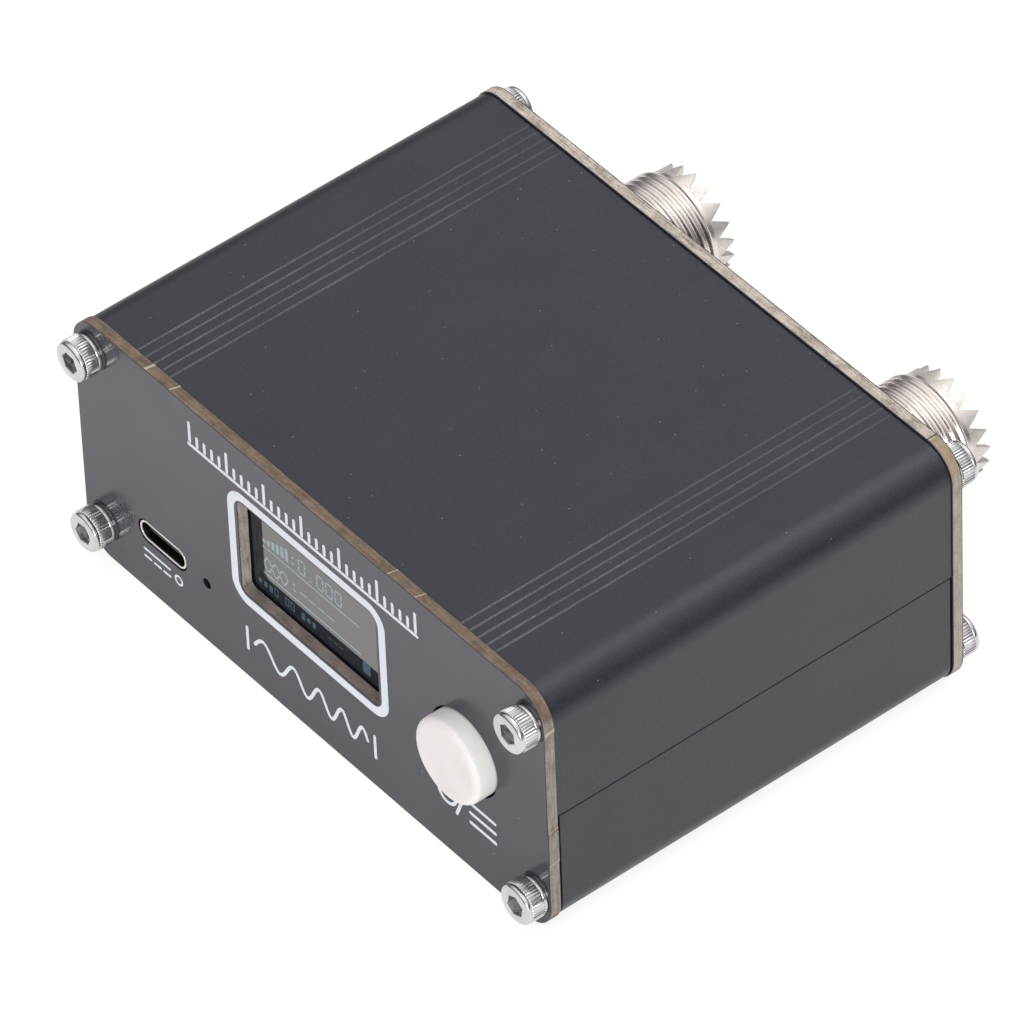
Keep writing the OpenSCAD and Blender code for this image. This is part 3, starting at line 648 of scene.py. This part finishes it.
def shell_outline(low, high, seam, upper):
    """Half of the body's section, from its right seam round to its left one and back along the inside."""
    x, z = high.x, high.z if upper else low.z
    inwards = -1 if upper else 1
    chamfer = 0.08
    middle_turn = 90 if upper else -90
    outer = [(x - chamfer, seam), (x, seam - inwards * chamfer)]
    outer += arc(x - BODY_R, z + inwards * BODY_R, BODY_R, 0, middle_turn, 20)
    for group in (GROOVE_X, -GROOVE_X):
        for i in range(GROOVES):
            outer += groove_cut(group + ((GROOVES - 1) / 2 - i) * GROOVE_PITCH, z, inwards)
    outer += arc(-x + BODY_R, z + inwards * BODY_R, BODY_R, middle_turn, 2 * middle_turn, 20)
    outer += [(-x, seam - inwards * chamfer), (-x + chamfer, seam)]
    inner_r = BODY_R - WALL
    inner_x, inner_z = x - WALL, z + inwards * WALL
    inner = [(-inner_x, seam)]
    inner += arc(-inner_x + inner_r, inner_z + inwards * inner_r, inner_r, 2 * middle_turn, middle_turn, 8)
    inner += arc(inner_x - inner_r, inner_z + inwards * inner_r, inner_r, middle_turn, 0, 8)
    inner += [(inner_x, seam)]
    return outer + inner if upper else (outer + inner)[::-1]


def is_groove(face, z, inwards):
    middle = face.calc_center_median()
    return (abs(abs(middle.x) - GROOVE_X) < GROOVES * GROOVE_PITCH / 2
            and 0.003 < (middle.z - z) * inwards < 0.2 and abs(face.normal.y) < 0.5)


def shells():
    """The two halves of the body, with a seam between them and grooves painted lighter, a painted highlight for
    the light their walls catch.
    """
    seam_gap, lap, swell = 0.11, 1.1, 0.15
    for node, upper in (("top_shell", True), ("bottom_shell", False)):
        low, high = box_mm(node)
        y0, y1 = BODY_LOW_Y + (0.04 if upper else 0.36), high.y - (0.02 if upper else 0.1)
        z = high.z if upper else low.z
        seam = SPLIT_Z if upper else SPLIT_Z - seam_gap
        low.x, high.x = low.x - swell, high.x + swell
        bm = bmesh.new()
        add_plate(bm, shell_outline(low, high, seam, upper), [], y0, y1, 0.04, 1)
        bm.normal_update()
        for face in bm.faces:
            # groove faces take the painted groove highlight
            face.material_index = 1 if is_groove(face, z, -1 if upper else 1) else 0
        for x, screw_z in SCREW_PLACES:
            if (screw_z > MIDDLE_Z) == upper:
                boss, channel = (circle_outline(x, screw_z, r, 40) for r in (BOSS_R, CHANNEL_R))
                add_plate(bm, boss, [channel], y0 + 0.05, y1 - 0.05, 0.02, 1)
        if upper:
            for side in (-1, 1):
                wall_x = side * (high.x - WALL * 0.75)
                add_box(bm, (wall_x - WALL / 4, y0 + 0.2, SPLIT_Z - lap),
                        (wall_x + WALL / 4, y1 - 0.2, SPLIT_Z + 1))
        mesh = mesh_of(node + "_skin", bm, [ANODISED, GROOVE_PAINTED_HIGHLIGHT])
        make_piece(node + "_skin", mesh, CASE, [node], SHELL_SHARP_DEG)


def screw_holes():
    return [circle_outline(x, z, SCREW_HOLE_R, 32) for x, z in SCREW_PLACES]


def panel_outline(top_tabs=(), right_tabs=()):
    """A panel's outline, with the low stubs left where it was snapped out of its sheet."""
    outline = rounded_outline(PANEL_LOW.x, PANEL_LOW.z, PANEL_HIGH.x, PANEL_HIGH.z, PANEL_R, 20)
    proud, slope = 0.09, 0.12

    def stub(low, high):
        return [(low, 0), (low + slope, proud), (high - slope, proud), (high, 0)]

    right = [(PANEL_HIGH.x + out, z) for low, high in sorted(right_tabs) for z, out in stub(low, high)]
    top = [(x, PANEL_HIGH.z + out) for low, high in sorted(top_tabs) for x, out in stub(low, high)][::-1]
    corner = len(outline) // 4
    return outline[:corner] + right + outline[corner:2 * corner] + top + outline[2 * corner:]


def front_panel():
    """The front panel: masked faces, bare laminate on its outer edge and round its window."""
    usb_gap = 0.22
    holes = screw_holes() + [
        centred_outline(WINDOW_X, WINDOW_Z, WINDOW_W, WINDOW_H, WINDOW_R, 10),
        circle_outline(CAP_X, CAP_Z, CAP_R + 0.3),
        centred_outline(USB_X, USB_Z, USB_HIGH.x - USB_LOW.x + 2 * usb_gap,
                        USB_HIGH.z - USB_LOW.z + 2 * usb_gap, 1.75, 12),
        circle_outline(LED_X, LED_Z, LED_R, 32)]
    drilled = [0] * len(SCREW_PLACES)
    outline = panel_outline(TOP_STUBS, RIGHT_STUBS)
    bm = bmesh.new()
    add_plate(bm, outline, holes, PANEL_LOW.y, PANEL_HIGH.y, 0.06, 2, [1] + drilled + [2, 0, 0, 0], 0.03)
    mesh = mesh_of("front_panel_board", bm, [MASK, FRONT_EDGE, WINDOW_EDGE])
    make_piece("front_panel_board", mesh, CASE, ["front_panel"])


def rear_panel():
    """The rear panel, with round holes for the two sockets."""
    socket_hole_r = 8.2
    holes = screw_holes() + [circle_outline(x, SOCKET_Z, socket_hole_r, 96) for x, _ in SOCKETS.values()]
    bm = bmesh.new()
    add_plate(bm, panel_outline(), holes, REAR_LOW.y, REAR_HIGH.y, 0.06, 2, [1, 0], 0.08)
    mesh = mesh_of("rear_panel_board", bm, [MASK, REAR_EDGE])
    make_piece("rear_panel_board", mesh, CASE, ["rear_panel"])


def nick_corners(along, lean, wide):
    """The corners of a slanting scratch across the front panel's edge, as places along the edge and in Y."""
    front, back = PANEL_LOW.y + 0.12, PANEL_HIGH.y - 0.1
    return [(along - wide, front), (along + wide, front),
            (along + wide + lean, back), (along - wide + lean, back)]


def edge_nicks():
    """Pale scratches where the front panel's snapped stubs begin and end, and a burn on the rear panel."""
    proud = 0.105
    bm = bmesh.new()
    heights = (-0.05, proud)
    for along, lean, wide in zip([end for stub in TOP_STUBS for end in stub],
                                 (0.25, 0.4, 0.3, 0.35), (0.2, 0.12, 0.07, 0.07)):
        corners = nick_corners(along, lean, wide)
        add_prism(bm, [[bm.verts.new((x, y, PANEL_HIGH.z + height)) for x, y in corners] for height in heights])
    for along, lean, wide in zip([*RIGHT_STUBS[0], 33.1], (0.3, 0.35, 0.2), (0.07, 0.07, 0.24)):
        corners = nick_corners(along, lean, wide)
        add_prism(bm, [[bm.verts.new((PANEL_HIGH.x + height, y, z)) for z, y in corners] for height in heights])
    make_piece("edge_nicks", mesh_of("edge_nicks", bm, [SCRATCH]), CASE)
    x, z, wide = PANEL_HIGH.x - PANEL_R, PANEL_HIGH.z, 0.07
    bm = bmesh.new()
    add_box(bm, (x - wide, REAR_LOW.y + 0.05, z - 0.05), (x + wide, REAR_HIGH.y - 0.05, z + 0.02))
    make_piece("edge_burn", mesh_of("edge_burn", bm, [BURNT]), CASE)


KNURLS = 44
HEX_APOTHEM = 1.25
HEX_RIM_R = 1.72
HEX_DEPTH = 1.35


def screw_rows():
    """Rows of a socket head cap screw, from the shank's tip to the bottom of the hexagon socket."""
    collar_r, band_r, edge_r = 2.62, 2.68, 0.42
    knurl_start, knurl_end, knurl_depth = 0.5, 2.28, 0.12
    shank_r, core_r, pitch, chamfer = 1.46, 1.24, 0.5, 0.3

    def knurled(r, d):
        def row(angle):
            wave = 0.5 + 0.5 * math.cos(KNURLS * angle)
            return r - knurl_depth * (1 - wave) ** 2.5, d
        return row

    def hexagonal(r, d):
        def row(angle):
            turn = (math.degrees(angle) % 60) - 30
            return r / math.cos(math.radians(turn)), d
        return row

    rows = [fixed_row(0, -SCREW_LEN), fixed_row(core_r - 0.2, -SCREW_LEN)]
    turns = int((SCREW_LEN - 2 * chamfer) / pitch)
    for i in range(turns):
        low = -SCREW_LEN + chamfer + i * pitch
        rows += [fixed_row(core_r, low), fixed_row(shank_r, low + 0.2), fixed_row(shank_r, low + 0.3)]
    rows += [fixed_row(core_r, -0.25), fixed_row(core_r, 0.0), fixed_row(collar_r - 0.06, 0.0),
             fixed_row(collar_r, 0.06), fixed_row(collar_r, knurl_start - 0.12),
             fixed_row(collar_r - 0.05, knurl_start - 0.04)]
    rows += [knurled(HEAD_R - 0.08, knurl_start), knurled(HEAD_R, knurl_start + 0.08),
             knurled(HEAD_R, (knurl_start + knurl_end) / 2), knurled(HEAD_R, knurl_end - 0.12),
             knurled(HEAD_R - 0.06, knurl_end)]
    rows += [fixed_row(band_r - 0.04, knurl_end + 0.04), fixed_row(band_r, knurl_end + 0.1)]
    corner = (band_r - edge_r, HEAD_H - edge_r)
    rows += [fixed_row(corner[0] + edge_r * math.cos(a), corner[1] + edge_r * math.sin(a))
             for a in (math.pi / 2 * k / 6 for k in range(7))]
    rows += [fixed_row(HEX_RIM_R, HEAD_H), hexagonal(HEX_APOTHEM + 0.1, HEAD_H - 0.02),
             hexagonal(HEX_APOTHEM, HEAD_H - 0.12), hexagonal(HEX_APOTHEM, HEAD_H - HEX_DEPTH),
             hexagonal(HEX_APOTHEM - 0.15, HEAD_H - 1.5), fixed_row(0, HEAD_H - 1.9)]
    return rows


def screws(name, node, face_y, forwards, turns):
    """Four cap screws on a panel. Each is turned a little, as a screw stops where it is tight."""
    bm = bmesh.new()
    for (x, z), turn in zip(SCREW_PLACES, turns):
        straight = along_y(x, z, face_y, forwards)
        add_lathe(bm, screw_rows(), KNURLS * 6,
                  lambda r, d, a, put=straight, t=math.radians(turn): put(r, d, a + t))
    make_piece(name, mesh_of(name, bm, [STEEL]), CASE, [node], 34)


# ---------------------------------------------------------------- antenna sockets

THREAD_R = 7.94
ROOT_R = 7.28
PITCH = 1.058
BORE_R = 6.2
TEETH = 18
CROWN_DEPTH = 2.3
ROWS_PER_TURN = 20
FLANGE_R = 9.2
SOCKET_Z = 19.0


def socket_centre(node):
    low, high = box_mm(node)
    return (low.x + high.x) / 2


# name: sideways place, and the angle of one crown notch
SOCKETS = {"left": (socket_centre("left_socket_shell"), 19),
           "right": (socket_centre("right_socket_shell"), 15)}
TIP_Y = box_mm("left_socket_shell")[1].y
SOCKET_BACK_Y = box_mm("left_socket_shell")[0].y


def socket_rows():
    """Rows of a socket shell: distances from its inner end, out along its thread and back down its bore."""
    flange_front = REAR_LOW.y - 0.1 - SOCKET_BACK_Y
    thread_start = REAR_HIGH.y + 0.1 - SOCKET_BACK_Y
    tip = TIP_Y - SOCKET_BACK_Y
    thread_end = tip - 3.1
    crown_base = tip - 2.6
    half_notch = ROOT_R * math.sin(math.pi / TEETH)

    def thread(d):
        def row(angle):
            turn = (d / PITCH + angle / (2 * math.pi)) % 1.0
            ridge = 0.5 - 0.5 * math.cos(2 * math.pi * turn)
            fade = min(1.0, max(0.0, (d - thread_start) / 0.4)) * min(1.0, max(0.0, (thread_end - d) / 0.3))
            return ROOT_R + (THREAD_R - ROOT_R) * (0.63 + 0.37 * ridge) * fade, d
        return row

    def crown(r, share):
        def row(angle):
            pitch = 2 * math.pi / TEETH
            off = (angle + pitch / 2) % pitch - pitch / 2
            height = CROWN_DEPTH * min(1.0, r * abs(math.sin(off)) / (half_notch * 0.97))
            top = tip - CROWN_DEPTH + height
            return r, crown_base + (top - crown_base) * share
        return row

    rows = [fixed_row(BORE_R, 0), fixed_row(FLANGE_R, 0), fixed_row(FLANGE_R, flange_front),
            fixed_row(ROOT_R, flange_front)]
    count = int((thread_end - thread_start) / PITCH * ROWS_PER_TURN)
    rows += [thread(thread_start + (thread_end - thread_start) * i / count) for i in range(count + 1)]
    rows += [fixed_row(ROOT_R, thread_end + 0.1), crown(ROOT_R, 0), crown(ROOT_R, 0.5),
             crown(ROOT_R - 0.02, 0.96), crown(ROOT_R - 0.1, 1)]
    rows += [crown((ROOT_R + BORE_R) / 2, 1), crown(BORE_R + 0.1, 1), crown(BORE_R + 0.02, 0.96),
             crown(BORE_R, 0.5), crown(BORE_R, 0), fixed_row(BORE_R, crown_base - 3)]
    return rows


def socket(side):
    x, phase = SOCKETS[side]
    node = side + "_socket_shell"
    leg_low = box_mm(node)[0].z
    bm = bmesh.new()
    straight = along_y(x, SOCKET_Z, SOCKET_BACK_Y)
    turn = math.radians(phase)
    add_lathe(bm, socket_rows(), TEETH * 12, lambda r, d, a: straight(r, d, a + turn), True)
    for face in bm.faces:
        face.material_index = 1 if face.calc_center_median().y > TIP_Y - CROWN_DEPTH - 0.35 else 0
    for leg_x in (x - 5, x + 5):
        add_box(bm, (leg_x - 0.6, SOCKET_BACK_Y + 0.1, leg_low),
                (leg_x + 0.6, SOCKET_BACK_Y + 1.3, SOCKET_Z - 7.6))
    name = side + "_socket_barrel"
    make_piece(name, mesh_of(name, bm, [NICKEL, NICKEL_CUT]), CASE, [node], 38, False)


# ---------------------------------------------------------------- button, charging socket and display


def button():
    """The button cap: a flat face with a soft rounded edge, hollow round the switch stem."""
    edge = 0.95
    depth = CAP_HIGH.y - CAP_LOW.y
    hollow, stem_r, stem_depth = (3.4, 4.7, 1.8), 2.7, 3.9
    rows = [fixed_row(0, 0), fixed_row((CAP_R - edge) * 0.6, 0.004), fixed_row(CAP_R - edge - 0.15, 0.012)]
    rows += [fixed_row(CAP_R - edge + edge * math.sin(a), edge - edge * math.cos(a) + 0.012 * math.cos(a))
             for a in (math.pi / 2 * k / 12 for k in range(13))]
    rows += [fixed_row(CAP_R, depth - 0.08), fixed_row(CAP_R - 0.08, depth), fixed_row(hollow[1], depth),
             fixed_row(hollow[1], hollow[2]), fixed_row(hollow[0], hollow[2]), fixed_row(hollow[0], depth),
             fixed_row(stem_r, depth), fixed_row(stem_r, stem_depth), fixed_row(0, stem_depth)]
    bm = bmesh.new()
    add_lathe(bm, rows, 128, along_y(CAP_X, CAP_Z, CAP_LOW.y))
    make_piece("button_top", mesh_of("button_top", bm, [BUTTON_PLASTIC]), BUTTON,
               ["button_cap"], 50)


def charging_socket():
    """The USB-C shell as a drawn steel tube with a rounded rim, its inner walls in a darker copy of the plating
    as painted shade, and the gold pads on its tongue.
    """
    wall = 0.34
    w, h = USB_HIGH.x - USB_LOW.x, USB_HIGH.z - USB_LOW.z
    bm = bmesh.new()
    add_plate(bm, centred_outline(USB_X, USB_Z, w, h, 1.5, 12),
              [centred_outline(USB_X, USB_Z, w - 2 * wall, h - 2 * wall, 1.5 - wall, 12)],
              USB_LOW.y, USB_HIGH.y - 0.3, 0.1, 3, [0, 1])
    add_plate(bm, centred_outline(USB_X, USB_Z, w, h, 1.5, 12), [], USB_HIGH.y - 0.3, USB_HIGH.y, 0.05)
    make_piece("usb_tube", mesh_of("usb_tube", bm, [NICKEL, USB_INSIDE_PAINTED_SHADE]), CASE, ["usb_shell"])
    tongue_low = box_mm("usb_tongue")[0]
    pads, pad_pitch, pad_w = 12, 0.5, 0.26
    bm = bmesh.new()
    for i in range(pads):
        x = USB_X + (i - (pads - 1) / 2) * pad_pitch
        for z in (USB_Z - 0.36, USB_Z + 0.34):
            add_box(bm, (x - pad_w / 2, tongue_low.y + 0.3, z), (x + pad_w / 2, tongue_low.y + 3.6, z + 0.02))
    make_piece("usb_pads", mesh_of("usb_pads", bm, [GOLD]), CASE)


def display():
    """The display's cover glass."""
    bm = bmesh.new()
    add_plate(bm, rounded_outline(GLASS_LOW.x, GLASS_LOW.z, GLASS_HIGH.x, GLASS_HIGH.z, 0.3, 4), [],
              GLASS_LOW.y, GLASS_HIGH.y, 0.08)
    make_piece("display_glass", mesh_of("display_glass", bm, [GLASS]), CASE, ["oled_glass"])


# Which of the seven bars of a digit are lit:
# top, upper right, lower right, bottom, lower left, upper left, middle
DIGIT_BARS = {"0": (1, 1, 1, 1, 1, 1, 0), "-": (0, 0, 0, 0, 0, 0, 1)}


def digit_strokes(mark, x, z, w, h):
    """The strokes of a seven-bar digit or a dash, with its lower left corner at x, z."""
    corners = {"tl": (x, z + h), "tr": (x + w, z + h), "ml": (x, z + h / 2), "mr": (x + w, z + h / 2),
               "bl": (x, z), "br": (x + w, z)}
    bars = ["tl tr", "tr mr", "mr br", "br bl", "bl ml", "ml tl", "ml mr"]
    return [[corners[end] for end in bar.split()] for bar, lit in zip(bars, DIGIT_BARS[mark]) if lit]


def add_strokes(bm, strokes, width, y0, y1):
    for points in strokes:
        add_plate(bm, ribbon_outline(points, width), [], y0, y1, min(0.008, width / 10), 1)


def display_marks():
    """Three rows of lit marks: a bar icon and a reading, a wave icon and dashes, and small cells."""
    front = GLASS_LOW.y - 0.012
    back = GLASS_LOW.y + 0.004
    row_1, row_2, row_3 = 22.9, 18.5, 15.3
    tall, wide, step, reading_x = 2.1, 1.15, 1.72, -3.9
    line = 0.26

    def dot(bm, x, z, w=0.36, h=0.36):
        add_plate(bm, centred_outline(x, z, w, h, 0.05, 3), [], front, back, 0.008, 1)

    bm = bmesh.new()
    strokes = digit_strokes("0", reading_x, row_1, wide, tall)
    for i in (2, 3, 4):
        strokes += digit_strokes("0", reading_x + i * step, row_1, wide, tall)
    for i in range(4):
        strokes += digit_strokes("-", reading_x + i * step, row_2, wide, tall)
    strokes += [[(-10.8, row - 0.75), (7.3, row - 0.75)] for row in (row_1, row_2)]
    for i in range(6):
        x, high = -10.5 + 0.86 * i, 0.55 + 0.31 * i
        bar = rounded_outline(x - 0.28, row_1, x + 0.28, row_1 + high, 0.05, 3)
        add_plate(bm, bar, [], front, back, 0.008, 1)
    for swing in (-1, 1):
        strokes.append([(-10.7 + 0.11 * i, row_2 + tall / 2 + swing * tall / 2 * math.sin(math.pi * i / 13.5))
                        for i in range(41)])
    add_strokes(bm, strokes, line, front, back)
    dot(bm, reading_x + step + 0.5, row_1)
    for row in (row_1, row_2):
        dot(bm, -5.0, row + 0.5)
        dot(bm, -5.0, row + 1.5)
    make_piece("display_marks", mesh_of("display_marks", bm, [PIXELS]), CASE)

    bm = bmesh.new()
    small = []
    for i in (3, 5, 6, 13, 14, 15):
        small += digit_strokes("0" if i < 10 else "-", -12.0 + i * 1.02, row_3, 0.6, 1.2)
    add_strokes(bm, small, 0.15, front, back)
    for i in (0, 1, 2, 8, 9, 10):
        dot(bm, -11.7 + i * 1.02, row_3 + 0.5, 0.6, 0.7 + 0.2 * (i % 3))
    add_plate(bm, rounded_outline(7.7, row_3 - 0.1, 9.1, row_3 + 1.7, 0.05, 3), [], front, back, 0.008, 1)
    make_piece("display_small_marks", mesh_of("display_small_marks", bm, [DIM_PIXELS]), CASE)


# ---------------------------------------------------------------- printed marks

INK_FRONT = FACE_Y - 0.03
INK_BACK = FACE_Y + 0.01
INK_W = 0.5


def ink_piece(name, build):
    bm = bmesh.new()
    build(bm)
    make_piece(name, mesh_of(name, bm, [WHITE_INK]), CASE)


def window_frame(bm):
    """A band with round corners round the window."""
    outer = rounded_outline(-14.9, 12.5, 14.65, 30.7, 3.0, 16)
    inner = rounded_outline(-13.65, 13.8, 13.4, 29.45, 1.9, 14)
    add_plate(bm, outer, [inner], INK_FRONT, INK_BACK, 0.01, 1)


def tick_scale(bm):
    """A plain graduated scale above the window, with a longer tick at every fifth place."""
    left, right, low, high = -21.9, 20.9, 31.9, 35.4
    count = 30
    strokes = [[(left, low), (right, low)]]
    for i in range(count + 1):
        x = left + 0.25 + (right - left - 0.5) * i / count
        top = high if i % 5 == 0 else low + (high - low) * 0.55
        strokes.append([(x, low + INK_W + 0.08), (x, top)])
    add_strokes(bm, strokes, INK_W, INK_FRONT, INK_BACK)


def rising_wave(bm):
    """A wave whose turns close up from left to right, between two end bars."""
    left, right, low, high = -12.6, 11.6, 4.9, 8.4
    middle, swing = (low + high) / 2, (high - low) / 2 - 0.25
    steps, turns = 200, 4.5
    wave = []
    for i in range(steps + 1):
        share = i / steps
        phase = 2 * math.pi * turns * (0.7 * share + 0.3 * share * share)
        wave.append((left + 1.4 + (right - left - 2.8) * share, middle + swing * math.sin(phase)))
    bars = [[(x, low), (x, high)] for x in (left, right)]
    add_strokes(bm, [wave] + bars, INK_W, INK_FRONT, INK_BACK)


def direct_current_sign(bm):
    """A line above three dashes, beside a small ring."""
    left, right, line_z = -32.5, -27.6, 6.9
    dash_z, dash, dash_step = 5.7, 1.2, 1.85
    strokes = [[(left, line_z), (right, line_z)]]
    strokes += [[(left + dash_step * i, dash_z), (left + dash + dash_step * i, dash_z)] for i in range(3)]
    add_strokes(bm, strokes, 0.35, INK_FRONT, INK_BACK)
    outer, inner = (circle_outline(-25.9, 6.3, r, 24) for r in (0.8, 0.5))
    add_plate(bm, outer, [inner], INK_FRONT, INK_BACK, 0.01, 1)


def button_signs(bm):
    """An open ring with a bar for standby, a slash, and three lines for a list."""
    strokes = [arc(25.2, 9.6, 1.6, 125, 415, 24), [(25.2, 9.9), (25.2, 11.5)], [(26.9, 7.4), (28.3, 11.0)]]
    strokes += [[(29.5, z), (34.1, z)] for z in (7.9, 9.5, 11.1)]
    add_strokes(bm, strokes, INK_W, INK_FRONT, INK_BACK)


def way_arrows(bm):
    """An arrow above each rear socket: inwards on one, outwards on the other."""
    low, high, half = 29.6, 33.0, 1.1
    for (x, _), upwards in zip(SOCKETS.values(), (True, False)):
        tip, tail = (high, low) if upwards else (low, high)
        barb = tip + (-half if upwards else half)
        strokes = [[(x, tail), (x, tip)], [(x - half, barb), (x, tip), (x + half, barb)]]
        add_strokes(bm, strokes, INK_W, REAR_HIGH.y - 0.01, REAR_HIGH.y + 0.03)


# ---------------------------------------------------------------- floor, light and camera


def floor():
    half = 3.0
    bm = bmesh.new()
    corners = [(-half, -half), (half, -half), (half, half), (-half, half)]
    bm.faces.new([bm.verts.new((x, y, 0)) for x, y in corners])
    mesh = bpy.data.meshes.new("floor")
    bm.to_mesh(mesh)
    bm.free()
    mesh.materials.append(floor_white())
    made = bpy.data.objects.new("floor", mesh)
    bpy.context.scene.collection.objects.link(made)


def area_light(name, place, size, power):
    """A rectangular soft box that faces the object."""
    data = bpy.data.lights.new(name, "AREA")
    data.shape = "RECTANGLE"
    data.size, data.size_y = size
    data.energy = power
    light = bpy.data.objects.new(name, data)
    light.location = place
    light.rotation_mode = "QUATERNION"
    light.rotation_quaternion = (-Vector(place)).to_track_quat("-Z", "Y")
    bpy.context.scene.collection.objects.link(light)


def studio():
    """A bright sky overhead that falls off towards the horizon, and three soft boxes."""
    world = bpy.data.worlds.new("studio")
    bpy.context.scene.world = world
    world.use_nodes = True
    tree = world.node_tree
    background = tree.nodes["Background"]
    coordinates = tree.nodes.new("ShaderNodeTexCoord")
    split = tree.nodes.new("ShaderNodeSeparateXYZ")
    tree.links.new(coordinates.outputs["Generated"], split.inputs[0])
    ramp = tree.nodes.new("ShaderNodeValToRGB")
    tree.links.new(split.outputs["Z"], ramp.inputs["Fac"])
    # each stop: how far up the sky it is, as a share of straight up, and how bright the sky is there
    stops = ramp.color_ramp.elements
    stops[0].position, stops[0].color = 0.12, (0.1, 0.1, 0.11, 1)
    stops[1].position, stops[1].color = 0.95, (1.3, 1.3, 1.3, 1)
    for position, level in ((0.35, 0.3), (0.57, 0.8), (0.72, 1.18)):
        stops.new(position).color = (level, level, level * 1.02, 1)
    tree.links.new(ramp.outputs["Color"], background.inputs["Color"])
    background.inputs["Strength"].default_value = 1.0
    area_light("top_box", (0.1, 0.9, 2.4), (1.5, 1.5), 10)
    area_light("key_box", (0.8, -1.6, 1.7), (1.2, 1.2), 2.5)
    area_light("right_box", (1.9, -1.1, 0.6), (0.8, 0.8), 21)


CAMERA_TARGET = Vector((0.00049, -0.00776, 0.01772))
CAMERA_AZIMUTH = 52.509
CAMERA_ELEVATION = 44.146
CAMERA_ROLL = -2.493
CAMERA_DISTANCE = 1.3544
CAMERA_LENS = 401.86


def camera():
    """The camera at the photograph's angle, rolled a little about its own axis."""
    azimuth, elevation = math.radians(CAMERA_AZIMUTH), math.radians(CAMERA_ELEVATION)
    back = Vector((math.sin(azimuth) * math.cos(elevation), -math.cos(azimuth) * math.cos(elevation),
                   math.sin(elevation)))
    data = bpy.data.cameras.new("camera")
    data.lens = CAMERA_LENS
    data.sensor_width = 36.0
    data.clip_start, data.clip_end = 0.05, 50
    made = bpy.data.objects.new("camera", data)
    made.location = CAMERA_TARGET + back * CAMERA_DISTANCE
    level = (-back).to_track_quat("-Z", "Y").to_matrix()
    roll = Matrix.Rotation(math.radians(CAMERA_ROLL), 3, "Z")
    made.rotation_mode = "QUATERNION"
    made.rotation_quaternion = (level @ roll).to_quaternion()
    bpy.context.scene.collection.objects.link(made)
    bpy.context.scene.camera = made


camera()
paint_cad_nodes()
shells()
front_panel()
rear_panel()
screws("front_cap_screws", "front_screws", FACE_Y, -1, (8, 52, 21, 37))
screws("rear_cap_screws", "rear_screws", REAR_HIGH.y, 1, (15, 44, 3, 29))
socket("left")
socket("right")
button()
charging_socket()
edge_nicks()
display()
display_marks()
ink_piece("window_print", window_frame)
ink_piece("scale_print", tick_scale)
ink_piece("wave_print", rising_wave)
ink_piece("supply_print", direct_current_sign)
ink_piece("button_print", button_signs)
ink_piece("socket_print", way_arrows)
floor()
studio()
bpy.context.scene.view_settings.view_transform = "Standard"
